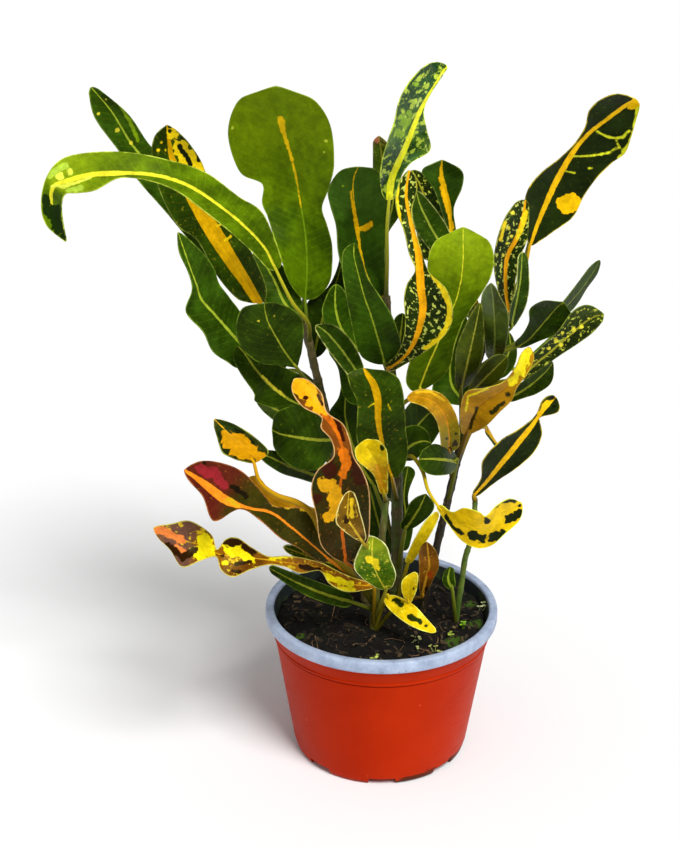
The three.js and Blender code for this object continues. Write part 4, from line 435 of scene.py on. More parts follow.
        "low_left_dark": (0.38, "dark", 1, (0.3, 0.3), (0.5, 3, 0.3), (), (
            (350,609, 352,602,-26, 354,595), (322,602, 325,594,-33, 330,586),
            (296,590, 298,583,-38, 302,576), (269,572, 269,568,-42, 270,564))),
        "low_left_yellow": (0.4, "green_yellow", 1, (0.3, 0.3), (0.5, 3, 0.9), (), (
            (338,573, 340,566,-34, 342,560), (318,567, 318,559,-42, 320,552),
            (300,560, 300,553,-46, 302,546), (284,551, 283,547,-49, 284,544))),
    },
    "small_shoot": {
        "low_right_dark": (1.0, "vein_dark", 3, (0.3, 0.4), (0.8, 3, 0.0), (), (
            (472,493, 474,495,-18, 477,497), (481,478, 486,482,-22, 497,481),
            (483,460, 499,466,-26, 518,467), (500,441, 512,450,-29, 534,452),
            (516,431, 524,435,-31, 542,435), (530,421, 533,424,-32, 540,422),
            (537,413, 539,415,-32, 541,417), (542,401, 548,405,-32, 558,412),
            (551,393, 555,396,-30, 560,400))),
        "small_green": (0.3, "green", 1, (0.2, 0.2), (0.2, 2, 0), (), (
            (448,590, 452,588,-18, 456,586), (442,580, 448,579,-22, 455,577),
            (446,568, 450,567,-23, 454,567))),
    },
}
# The usual width of a stalk in mm, and the stalks that are wider.
STALK_WIDTH = 2.6
WIDE_STALKS = {"left_yellow": 4.6}

LEAVES = {}
for stem_name, leaf_rows in LEAF_ROWS.items():
    for leaf_name, leaf_row in leaf_rows.items():
        leaf = dict(zip(LEAF_WORDS, leaf_row), stem=stem_name)
        outline = np.array(leaf.pop("outline"), float)
        leaf["left"], leaf["rib"], leaf["right"] = outline[:, :2], outline[:, 2:5], outline[:, 5:]
        leaf["stalk_width"] = WIDE_STALKS.get(leaf_name, STALK_WIDTH)
        LEAVES[leaf_name] = leaf

# ---------------------------------------------------------------- leaf colours
# Croton leaves start green, blotched and ribbed with yellow, and turn orange and red with light.
# deep and mid: the ground. tint: the colour that a leaf turns towards along its length. pale: the
# blotches. light, dark and spot: single patches. back: the underside's bloom.

COLOUR_WORDS = ("deep", "mid", "tint", "pale", "rib", "edge", "light", "dark", "spot", "back")

# blotch: the share that is blotched. blotch_mm: a blotch's size. rib_mm: the coloured rib's half
# width, from base to tip. veins: how clear the side veins are. gloss: the skin's roughness.
LOOK_WORDS = ("colours", "blotch", "blotch_mm", "rib_mm", "veins", "gloss")
LOOK_ROWS = {
    "dark": ("1c2d04 2b4206 3a5609 8f9f22 8f9628 62781c e6d83a 0d1804 6f9a10 3c4a22",
             0.05, 2.4, (0.9, 0.8, 0.5, 0.2), 0.3, 0.36),
    "green": ("263d04 36570a 4a6c0c 8fa726 9fb12e 7d962c d9cf36 142305 7fa010 4f662a",
              0.04, 3.0, (0.9, 0.7, 0.5, 0.2), 0.45, 0.38),
    "olive": ("365002 547202 708a04 9fb81a 6a8810 93ab2a f0c410 2a3c04 c8d83a 6d8138",
              0.02, 5.0, (0.5, 0.5, 0.4, 0.2), 0.5, 0.46),
    "bright": ("3e5802 5c7a03 7e960a a9c42c e6e030 c2d048 dde44a 142a06 a9c63a 7f9440",
               0.05, 4.5, (0.9, 1.0, 0.8, 0.4), 0.5, 0.46),
    "orange_rib": ("1f3004 304a06 41600a a89c20 d4a206 7d8a2c f4d212 10190a c9cf2a 4b5a28",
                   0.10, 2.2, (2.2, 2.0, 1.4, 0.5), 0.3, 0.36),
    # glossy: its light colour is a painted highlight, the glints laid into top_twisted's skin
    "glossy": ("143e0c 255a14 7fa01c b4cc3c f0f020 d6e84a c8dc6a 123008 7fa41a 3c6a14",
               0.42, 2.6, (1.4, 1.6, 1.4, 0.6), 0.5, 0.2),
    "pink": ("33480a 4f6a10 c08a62 a9a93a a5a032 8c8c40 cdb24a 22300a d07a5a 7b7a3e",
             0.2, 2.5, (0.8, 0.8, 0.6, 0.3), 0.3, 0.34),
    "speckled": ("17250a 24370a 3a4c0a c6cf5a f0a80e b4b840 f2d41c 0d1804 f0e440 49521f",
                 0.3, 1.3, (1.2, 1.2, 1.6, 0.6), 0.2, 0.3),
    "maroon": ("2b1606 4a2a0a 7d4c0e b98a20 b5811c 9a7a34 d8a01e 1c0f06 96400f 6e4c28",
               0.2, 2.4, (1.0, 0.8, 0.6, 0.3), 0.25, 0.34),
    "mustard": ("a8780c c08a0c e6c818 b07c10 a8720c d0bc3a f0dc1c 33300a f2e22c b8860e",
                0.12, 4.0, (0.5, 0.5, 0.4, 0.2), 0.2, 0.4),
    "orange": ("a8780a bc8a0a 8a7a08 e6b01c d08a10 ccb84a eeb81c 332a08 e89a12 c8860e",
               0.12, 3.4, (0.4, 0.4, 0.3, 0.2), 0.2, 0.38),
    "yellow": ("d8b80a e6c80c c8960f f2e43c e0c418 eef06a f4e63a 1e2a06 d89a10 d4b810",
               0.2, 3.0, (0.4, 0.4, 0.3, 0.2), 0.15, 0.4),
    "yellow_patch": ("141e08 20300a d29a12 9a8a1c e2a812 a0a63a c88c06 0e1608 f0d21a 8a7a2c",
                     0.05, 2.2, (0.6, 0.4, 0.3, 0.2), 0.1, 0.36),
    "yellow_dark": ("e0b80a f2c80c f2cc10 f4e23a f0d018 eef24a f6d814 121c06 f0b00e e0b00c",
                    0.1, 3.6, (0.4, 0.4, 0.3, 0.2), 0.05, 0.36),
    "red": ("2b2a06 3a3408 5a1c12 a8741c ee8a1e b06c34 d3a818 180c06 8e2028 5a3a14",
            0.1, 2.6, (0.9, 1.3, 1.6, 0.5), 0.2, 0.26),
    "corkscrew": ("6a3c0a a2660c 6a4638 e6c41c d8a016 d8cc5a f0dc10 2c1404 e8813c 7c4c34",
                  0.3, 3.2, (0.4, 0.4, 0.4, 0.2), 0.1, 0.32),
    "red_orange": ("2a2a05 352606 7c4210 b5701c c46012 e0b070 e8a810 3a1006 d8700e 8a4a22",
                   0.12, 3.0, (1.2, 1.6, 1.8, 0.8), 0.15, 0.32),
    "pale_edge_brown": ("4a300a 7c5a12 b58a1c c4a22a c8a62a ece08a e6c020 2a1708 9a4a1a 8a6a2c",
                        0.3, 2.6, (0.7, 0.6, 0.5, 0.2), 0.2, 0.36),
    "pale_edge": ("22380a 34500c 5a7a14 8c9e2c 9aa836 c9cc70 e6d82a 152406 8fa82a 5a7032",
                  0.12, 2.4, (0.7, 0.6, 0.5, 0.2), 0.35, 0.34),
    "green_yellow": ("33540a 5a7e10 a8b41c c9c83a cfc23a eef0a8 f2d81c 1f3306 f0e22c 7a9038",
                     0.25, 2.6, (0.5, 0.4, 0.4, 0.2), 0.3, 0.36),
    "vein_dark": ("141f09 1d2c0a 22300c 6f7c1c f6c010 ddc82a fbc608 0c1507 ecf02c 46502a",
                  0.06, 1.8, (1.3, 1.6, 1.5, 1.0), 0.12, 0.28),
    "blotched": ("152107 22330a 3a4c0c c8d046 a3a02a 869436 eadf3a 0d1706 f0ee4a 4c5828",
                 0.3, 1.7, (0.8, 0.7, 0.5, 0.2), 0.2, 0.3),
    "glossy_olive": ("2e3d0e 465a16 6a7c3a 7f8a3a 6f7c2c 7f8a3c a3ad5a 1e2a0a c4a81c 5f6c3a",
                     0.06, 3.0, (0.6, 0.5, 0.4, 0.2), 0.25, 0.2),
    "olive_dark": ("2c3806 43500a 5c6410 8a8a20 8f9030 7a8030 c9bc34 1a2406 b8960f 59632c",
                   0.08, 2.6, (0.7, 0.6, 0.4, 0.2), 0.3, 0.32),
    "dark_spoon": ("223a08 32520c 40621a 8c9a24 f2c010 76883a f6bc0c 142406 8fb01a 4f6428",
                   0.03, 2.6, (1.0, 1.1, 1.4, 0.3), 0.35, 0.32),
}
GLOSSY = 0.25
PALE_MARGINED = ("pale_edge_brown", "green_yellow", "red_orange", "corkscrew", "yellow_dark")
LOOKS = {name: dict(zip(LOOK_WORDS, row)) for name, row in LOOK_ROWS.items()}
for name, look in LOOKS.items():
    look.update(zip(COLOUR_WORDS, look.pop("colours").split()))
    # margin: the least share of the pale margin. shine and sheen: how much is reflected, and its
    # colour
    look["margin"] = 0.8 if name in PALE_MARGINED else 0.15
    look["shine"], look["sheen"] = (0.42, "ffffff") if look["gloss"] < GLOSSY else (0.1, "e0ee90")
STALK_FOOT = "3f4212"

# The marks of single leaves, on the view. light, dark, spot: patches as (column, row, radius), or
# lines as (half width, then the line's points). tint: how far the leaf has turned, from base to
# tip. rib_mm: the coloured rib's half width, from base to tip.
MARKS = {
    "far_left_dark": {
        "light": ((98, 114, 1.8), (117, 130, 2.0), (106, 99, 1.2), (131, 143, 1.6)),
        "spot": ((2.0, (120, 104), (130, 121), (138, 140)),),
        "rib_mm": (0.8, 0.8, 0.8, 0.8, 0.5, 0.3)},
    "left_orange_rib": {
        "light": ((181, 148, 9), (186, 160, 9), (194, 158, 8), (172, 134, 6), (200, 166, 6),
            (1.2, (211, 212), (216, 209)), (1.2, (218, 226), (224, 222)),
            (1.1, (225, 240), (231, 236)), (161, 142, 1.6), (158, 150, 1.4), (165, 150, 1.5)),
        "dark": ((2.2, (179, 146), (187, 157), (190, 164)), (1.8, (196, 148), (199, 160)),
            (170, 131, 2.0), (182, 137, 2.0)),
        "rib_mm": (3.0, 3.6, 4.2, 4.8, 4.0, 2.4, 1.8, 1.2, 0.4)},
    "left_arching": {
        "tint": (0, 0, 0.1, 0.2, 0.3, 0.4, 0.6, 0.8, 0.2, 0, 0),
        "light": ((1.6, (52, 186), (64, 187), (90, 178)), (60, 176, 4), (70, 172, 3)),
        "spot": ((3.0, (50, 176), (57, 170), (66, 166)), (2.4, (68, 191), (82, 188))),
        "dark": ((3.5, (46, 198), (46, 212)), (54, 212, 9), (58, 226, 8), (66, 238, 6)),
        "rib_mm": (0.7, 0.7, 0.9, 1.3, 1.6, 1.6, 1.3, 0.8, 0.2)},
    "tall_spoon": {
        "light": ((3.0, (281, 119), (283, 130)), (2.3, (283, 130), (288, 146)),
            (1.6, (288, 146), (292, 160)), (1.0, (292, 160), (297, 180)),
            (0.6, (297, 180), (301, 208))),
        "spot": ((326, 141, 1.8), (324, 152, 1.2), (240, 158, 1.4), (233, 128, 2.0),
            (273, 275, 1.6), (1.3, (264, 222), (273, 250), (284, 274))),
        "tint": (0, 0, 0.1, 0.3, 0.4, 0.5, 0.7, 0.9, 1)},
    "left_dark_low": {
        "light": ((1.2, (262, 376), (272, 386), (284, 396)),),
        "rib_mm": (0.5, 0.8, 0.6, 0.3)},
    "left_dark_round": {
        "light": ((258, 321, 1.2), (274, 316, 0.9)),
        "rib_mm": (0.5, 0.4, 0.3, 0.1)},
    "dark_spoon": {
        "light": ((1.0, (351, 192), (353, 206)), (1.8, (353, 206), (356, 222), (359, 240)),
            (2.4, (359, 229), (366, 227)), (2.6, (366, 228), (371, 223))),
        "spot": ((343, 186, 1.2), (1.0, (387, 229), (397, 233))),
        "rib_mm": (1.2, 1.0, 0.5, 0.3, 0.3, 0.2),
        "tint": (0, 0.1, 0.2, 0.6, 1, 1)},
    "plain_strap": {"rib_mm": (0.5, 0.4, 0.3, 0.2), "tint": (0.2, 0.2, 0.1, 0)},
    "top_twisted": {
        "tint": (0.1, 0.15, 0.25, 0.3, 0.3, 0.2, 0.1, 0, 0),
        # these light marks are painted highlights: small glints laid into the leaf's colour
        "light": ((0.9, (420, 98), (417, 106)), (426, 92, 1.2), (0.8, (425, 144), (427, 151))),
        "spot": ((404, 122, 6), (399, 134, 5), (409, 113, 3.5), (416, 84, 3)),
        "rib_mm": (2.0, 2.2, 2.2, 2.0, 1.6, 1.2, 0.9, 0.6, 0.3)},
    "small_top": {"tint": (0, 0, 0, 0, 0.5), "spot": ((376, 139, 3.5),)},
    "speckled_curl": {
        "light": ((2.6, (426, 348), (440, 338), (449, 322)),
            (2.8, (449, 322), (450, 305), (443, 289)), (2.0, (443, 289), (432, 275)),
            (1.4, (398, 174), (397, 200), (400, 222)), (1.8, (410, 167), (418, 176), (419, 190)),
            (396, 231, 5)),
        "rib_mm": (0.8, 1.0, 1.4, 2.0, 2.4, 2.2, 1.8, 1.0, 0.8, 0.6)},
    "small_spoon": {
        "light": ((1.2, (439, 178), (442, 186)), (2.4, (442, 186), (447, 206), (452, 226)))},
    "round_spoon": {"tint": (0, 0.08, 0.24, 0.48, 0.66, 0.7), "rib_mm": (0.6, 0.5, 0.3, 0.2, 0.1)},
    "front_orange_rib": {
        "rib_mm": (0.6, 0.8, 1.2, 1.7, 2.0, 2.0, 1.6, 0.6),
        "light": ((0.6, (388, 404), (391, 410)), (0.6, (368, 407), (374, 403)))},
    "low_mustard": {
        "tint": (0.2, 0.5, 0.8, 0.6, 0.3),
        "spot": ((430, 574, 4),),
        "dark": ((427, 590, 3),)},
    "yellow_curl": {
        "dark": ((487, 521, 3.6), (5.0, (466, 499), (478, 503)), (4.6, (472, 535), (482, 538)),
            (4.8, (492, 538), (504, 534)), (4.4, (508, 520), (519, 514)),
            (2.6, (490, 508), (497, 503)), (2.6, (500, 500), (514, 500)),
            (2.2, (446, 516), (452, 526), (462, 533)), (519, 505, 2)),
        "rib_mm": (0.2, 0.1, 0.1)},
    "far_right_dark": {
        "light": ((565, 204, 9), (573, 203, 9.5), (569, 204, 10), (636, 103, 5), (632, 106, 3.5)),
        "spot": ((1.0, (597, 131), (606, 136), (616, 138)),
            (1.4, (616, 138), (623, 137), (629, 131)), (2.6, (638, 108), (637, 120), (634, 134)),
            (2.0, (634, 134), (628, 147), (619, 158)), (0.8, (574, 156), (588, 156), (601, 154)),
            (1.2, (601, 154), (611, 152), (619, 146)), (0.7, (566, 171), (575, 173)),
            (0.7, (588, 168), (592, 168)), (0.8, (616, 140), (620, 148))),
        "rib_mm": (1.0, 1.4, 1.8, 1.9, 1.5, 1.2, 1.2, 1.3, 1.8)},
    "right_mottled": {
        "light": ((2.4, (526, 212), (522, 226), (517, 238)), (1.4, (505, 222), (500, 240))),
        "spot": ((512, 213, 2), (508, 228, 1.6), (507, 243, 1.8), (503, 255, 1.6),
            (511, 236, 1.3))},
    "right_edge_on": {"rib_mm": (0.3, 0.3, 0.2, 0.1), "tint": (0, 0, 0, 0)},
    "right_dark_spoon": {"rib_mm": (0.6, 0.4, 0.3)},
    "right_blotched": {
        "light": ((574, 329, 2.6), (581, 326, 2.2), (562, 333, 1.8), (556, 340, 2.8),
            (561, 345, 2.0), (549, 348, 2.0), (568, 336, 1.4), (588, 318, 1.2)),
        "tint": (0, 0, 0.3, 0.6)},
    "right_mustard": {
        "light": ((6.0, (524, 356), (520, 370)), (4.0, (520, 370), (512, 382)),
            (1.1, (466, 410), (468, 396), (488, 388))),
        "dark": ((1.6, (470, 428), (477, 408)), (508, 394, 2.2), (2.0, (492, 412), (504, 402))),
        "spot": ((528, 352, 4),)},
    "orange_hook": {
        "tint": (1, 0.8, 0.3, 0, 0, 0.1),
        "dark": ((455, 443, 3), (450, 449, 2.6), (447, 438, 1.6), (441, 452, 2.2), (456, 433, 1.4)),
        "light": ((1.2, (416, 392), (430, 391), (444, 400)),)},
    "left_yellow": {
        "light": ((9.0, (231, 441), (239, 443)), (9.0, (244, 448), (250, 452)),
            (5.0, (254, 454), (262, 458)), (3.0, (224, 433), (226, 446)),
            (4.0, (233, 452), (240, 455))),
        "spot": ((2.4, (258, 459), (264, 461)),),
        "dark": ((1.6, (236, 430), (243, 433)), (1.3, (250, 439), (254, 443)))},
    "red_fiddle": {
        "tint": (0, 0, 0, 0, 0.1, 0.6, 1, 1, 1),
        "light": ((6.0, (277, 501), (292, 502)), (4.0, (292, 502), (307, 508)),
            (2.4, (228, 499), (238, 506))),
        "spot": ((6.0, (203, 470), (216, 474)), (4.4, (216, 476), (224, 484)),
            (2.0, (196, 467), (202, 472))),
        "dark": ((2.6, (232, 486), (246, 496)), (204, 463, 2)),
        "rib_mm": (0.4, 0.5, 0.6, 0.8, 1.6, 2.4, 2.2, 1.4, 0.8)},
    "corkscrew": {
        "tint": (0, 0, 0, 0, 0, 0, 0, 0, 0, 0, 0, 0.2, 0.9, 0.8, 0.4),
        "light": ((8.0, (205, 541), (208, 549)), (5.0, (196, 551), (202, 556)),
            (7.0, (229, 545), (234, 550)), (4.0, (238, 552), (252, 560)),
            (3.6, (272, 558), (290, 553)), (225, 563, 3), (3.4, (318, 574), (350, 584)),
            (2.6, (330, 590), (352, 590))),
        "spot": ((4.0, (154, 529), (168, 532)), (3.6, (168, 533), (182, 540)),
            (2.2, (176, 546), (184, 551))),
        "dark": ((5.5, (228, 541), (236, 540)), (3.4, (244, 546), (252, 552)),
            (3.4, (168, 546), (178, 553)), (3.6, (182, 558), (194, 550)),
            (2.0, (236, 564), (250, 562)), (1.6, (232, 571), (240, 572)), (222, 556, 2),
            (2.6, (300, 566), (318, 570)), (274, 567, 3)),
        "rib_mm": (0.3, 0.3, 0.3, 0.2)},
    "long_twist": {
        "tint": (0, 0, 0, 0, 0, 0.3, 1, 1, 1, 0.7, 0.3, 0.2),
        "light": ((7.0, (324, 484), (330, 486)), (6.5, (334, 492), (336, 502)),
            (5.0, (334, 510), (328, 518)), (9.0, (298, 386), (308, 392)),
            (7.5, (312, 399), (321, 408))),
        "spot": ((5.5, (344, 452), (347, 466)), (4.0, (345, 466), (343, 474)),
            (3.0, (332, 420), (340, 436))),
        "dark": ((8.0, (326, 462), (330, 470)), (8.0, (358, 466), (362, 478)),
            (1.8, (318, 396), (322, 404)), (305, 398, 2.5), (316, 498, 5),
            (2.0, (336, 418), (344, 440))),
        "rib_mm": (0.8, 0.9, 0.7, 0.7, 0.9, 1.4, 1.8, 1.4, 1.0)},
    "yellow_head": {
        "tint": (1, 0.8, 0.3, 0, 0),
        "dark": ((383, 447, 2.6), (362, 468, 1.4)),
        "spot": ((2.2, (377, 466), (382, 486)),)},
    "small_loop": {"light": ((2.0, (352, 500), (352, 516)),), "dark": ((346, 520, 4),)},
    "green_cup": {
        "light": ((3.2, (368, 559), (376, 561)), (2.2, (374, 563), (378, 568))),
        "tint": (0, 0.2, 0.4, 0.5)},
    "soil_yellow": {
        "dark": ((3.0, (395, 600), (402, 605)), (2.6, (410, 617), (420, 622)), (426, 626, 1.6)),
        "tint": (0, 0, 0, 0)},
    "low_yellow": {"tint": (0.8, 0.2, 0, 0), "dark": ((414, 588, 1.6),)},
    "low_right_dark": {
        "light": ((3.0, (547, 403), (543, 408)), (2.2, (543, 408), (539, 413))),
        "dark": ((552, 398, 3), (554, 406, 2.4)),
        "rib_mm": (0.8, 1.4, 1.8, 2.0, 1.9, 1.4, 0.8, 0.9)},
    "back_centre_low": {"rib_mm": (1.0, 1.4, 1.6, 0.6)},
}

# Where seedlings stand on the mix: (column, row, height in mm, first colour).
SEEDLINGS = (
    (376, 659, 3.6, "c9d86a"), (415, 644, 4.6, "cfd88a"), (418, 653, 4.0, "c4cf7a"),
    (451, 639, 3.4, "b9cc4a"), (463, 630, 5.6, "86b81e"), (479, 611, 4.4, "b8be8a"),
    (435, 652, 3.0, "c0c46a"),
)


# ---------------------------------------------------------------- curves, view and meshes


def curve_at(points, places):
    """Return points, at places from 0 to 1, of the smooth curve through evenly spaced ones."""
    points = np.asarray(points, float)
    points = points.reshape(len(points), -1)
    place = np.clip(places, 0.0, 1.0) * (len(points) - 1)
    first = np.minimum(place.astype(int), len(points) - 2)
    part = (place - first)[:, None]
    padded = np.vstack((2 * points[0] - points[1], points, 2 * points[-1] - points[-2]))
    a, b, c, d = (padded[first + step] for step in range(4))
    cubic = b * 3 - a - c * 3 + d
    square = a * 2 - b * 5 + c * 4 - d
    return 0.5 * (2 * b + (c - a) * part + square * part**2 + cubic * part**3)


def view_rays(columns, rows):
    """Return the directions from the view's eye through pixels of the view."""
    right = (np.asarray(columns, float) - VIEW_COLUMN) / VIEW_FOCAL
    up = (VIEW_ROW - np.asarray(rows, float)) / VIEW_FOCAL
    level = math.cos(VIEW_PITCH) + up * math.sin(VIEW_PITCH)
    rise = up * math.cos(VIEW_PITCH) - math.sin(VIEW_PITCH)
    return np.stack((right, level, rise), axis=-1)


def seen(pixels):
    """Return the points in mm that (column, row, depth) of the view stand for."""
    pixels = np.asarray(pixels, float)
    rays = view_rays(pixels[..., 0], pixels[..., 1])
    reach = (pixels[..., 2] - VIEW_EYE[1]) / rays[..., 1]
    return VIEW_EYE + rays * reach[..., None]


def on_mix(column, row, lift=0.0):
    """Return the point, lift mm above the mix, that a pixel of the view shows, in mm."""
    ray = view_rays(column, row)
    return VIEW_EYE + ray * (SOIL_TOP + lift - VIEW_EYE[2]) / ray[2]


def unit(vectors):
    """Return vectors at length 1."""
    return vectors / np.maximum(np.linalg.norm(vectors, axis=-1, keepdims=True), 1e-9)


def make_piece(name, points_mm, faces, smooth=True, sharp=None):
    """Make a mesh object of points in mm, and show it. Edges over the angle sharp stay crisp."""
    mesh = bpy.data.meshes.new(name)
    mesh.from_pydata((np.asarray(points_mm) * MM).tolist(), [], faces)
    mesh.shade_smooth() if smooth else mesh.shade_flat()
    if sharp is not None:
        mesh.set_sharp_from_angle(angle=sharp)
    mesh.validate()
    piece = bpy.data.objects.new(name, mesh)
    bpy.context.scene.collection.objects.link(piece)
    return piece


def outward(points, faces):
    """Return closed faces in the order that puts their front outside."""
    volume = 0.0
    for face in faces:
        corners = points[list(face)]
        for k in range(1, len(face) - 1):
            volume += np.dot(corners[0], np.cross(corners[k], corners[k + 1]))
    return faces if volume >= 0 else [tuple(reversed(face)) for face in faces]


def store(piece, **values):
    """Keep one number a point on a piece, for its finish."""
    for word, numbers in values.items():
        layer = piece.data.attributes.new(word, "FLOAT", "POINT")
        layer.data.foreach_set("value", np.asarray(numbers, np.float32).ravel())


def store_map(piece, name, pairs):
    """Keep a flat (along, across) place in metres for each point of a piece."""
    layer = piece.data.uv_layers.new(name=name)
    corners = np.empty(len(piece.data.loops), np.int32)
    piece.data.loops.foreach_get("vertex_index", corners)
    layer.data.foreach_set("uv", np.asarray(pairs, np.float32)[corners].ravel())


def circle(sides):
    """Return the angles of a circle's even points."""
    return np.arange(sides) / sides * math.tau


def ring_faces(rings, sides):
    """Return the faces of a closed body made of rings of points, then a pole for each end."""
    last = (rings - 1) * sides
    faces = []
    for i in range(sides):
        j = (i + 1) % sides
        faces += [(last + sides, j, i), (last + i, last + j, last + sides + 1)]
        faces += [(k + i, k + j, k + sides + j, k + sides + i) for k in range(0, last, sides)]
    return faces


def tube(points, radii, sides):
    """Return the points and faces of a closed round rod along points."""
    points = np.asarray(points, float)
    ahead = unit(np.gradient(points, axis=0))
    side = np.array((0.0, 1.0, 0.0) if abs(ahead[0][1]) < 0.9 else (1.0, 0.0, 0.0))
    angles = circle(sides)[:, None]
    rings = []
    for centre, forward, radius in zip(points, ahead, radii):
        side = unit(side - forward * np.dot(side, forward))
        front = np.cross(forward, side)
        rings.append(centre + (np.cos(angles) * side + np.sin(angles) * front) * radius)
    return np.vstack(rings + [points[:1], points[-1:]]), ring_faces(len(points), sides)


# ---------------------------------------------------------------- finishes

# A noise's patches are about half a unit wide at a scale of 1, and a cell pattern's cells are one
# unit wide. Each of these, over a width in mm, is the scale for patches or cells of that width.
NOISE_MM = 0.5 / MM
CELL_MM = 1 / MM


def colour(hexed):
    """Return an sRGB hex colour as the linear colour that a node takes."""
    parts = [int(hexed[i:i + 2], 16) / 255 for i in (0, 2, 4)]
    linear = [p / 12.92 if p <= 0.04045 else ((p + 0.055) / 1.055) ** 2.4 for p in parts]
    return (*linear, 1.0)


def add(tree, kind, inputs=None, **settings):
    """Add a node to a tree, with its settings and with what its inputs are joined to or set at,
    and return its outputs."""
    node = tree.nodes.new(kind)
    for word, value in settings.items():
        setattr(node, word, value)
    for word, value in (inputs or {}).items():
        if isinstance(value, bpy.types.NodeSocket):
            tree.links.new(value, node.inputs[word])
        else:
            node.inputs[word].default_value = value
    return node.outputs


def coat(tree, base, shade, field, start, end, least=0.0, most=1.0, blend="LINEAR"):
    """Lay a colour over base: its share goes from least to most as field goes from start to end."""
    share = add(tree, "ShaderNodeMapRange", {
        "Value": field, "From Min": start, "From Max": end, "To Min": least, "To Max": most},
        interpolation_type=blend)[0]
    return add(tree, "ShaderNodeMix", {0: share, 6: base, 7: shade}, data_type="RGBA")[2]


def new_finish(name, roughness=0.5, specular=0.5, ior=1.5, sheen="ffffff"):
    """Start a material: return it with its tree and its shader. sheen tints what it reflects."""
    material = bpy.data.materials.new(name)
    material.use_nodes = True
    tree = material.node_tree
    shader = next(node for node in tree.nodes if node.type == "BSDF_PRINCIPLED")
    shader.inputs["Roughness"].default_value = roughness
    shader.inputs["Specular IOR Level"].default_value = specular
    shader.inputs["IOR"].default_value = ior
    shader.inputs["Specular Tint"].default_value = colour(sheen)
    return material, tree, shader


def finish_surface(tree, shader, base, rough, height, depth_mm):
    """Join colour, roughness and relief, which is as deep as depth_mm where height is 1."""
    bump = add(tree, "ShaderNodeBump", {
        "Strength": 1.0, "Distance": depth_mm * MM, "Height": height})
    for word, value in (("Base Color", base), ("Roughness", rough), ("Normal", bump["Normal"])):
        tree.links.new(value, shader.inputs[word])


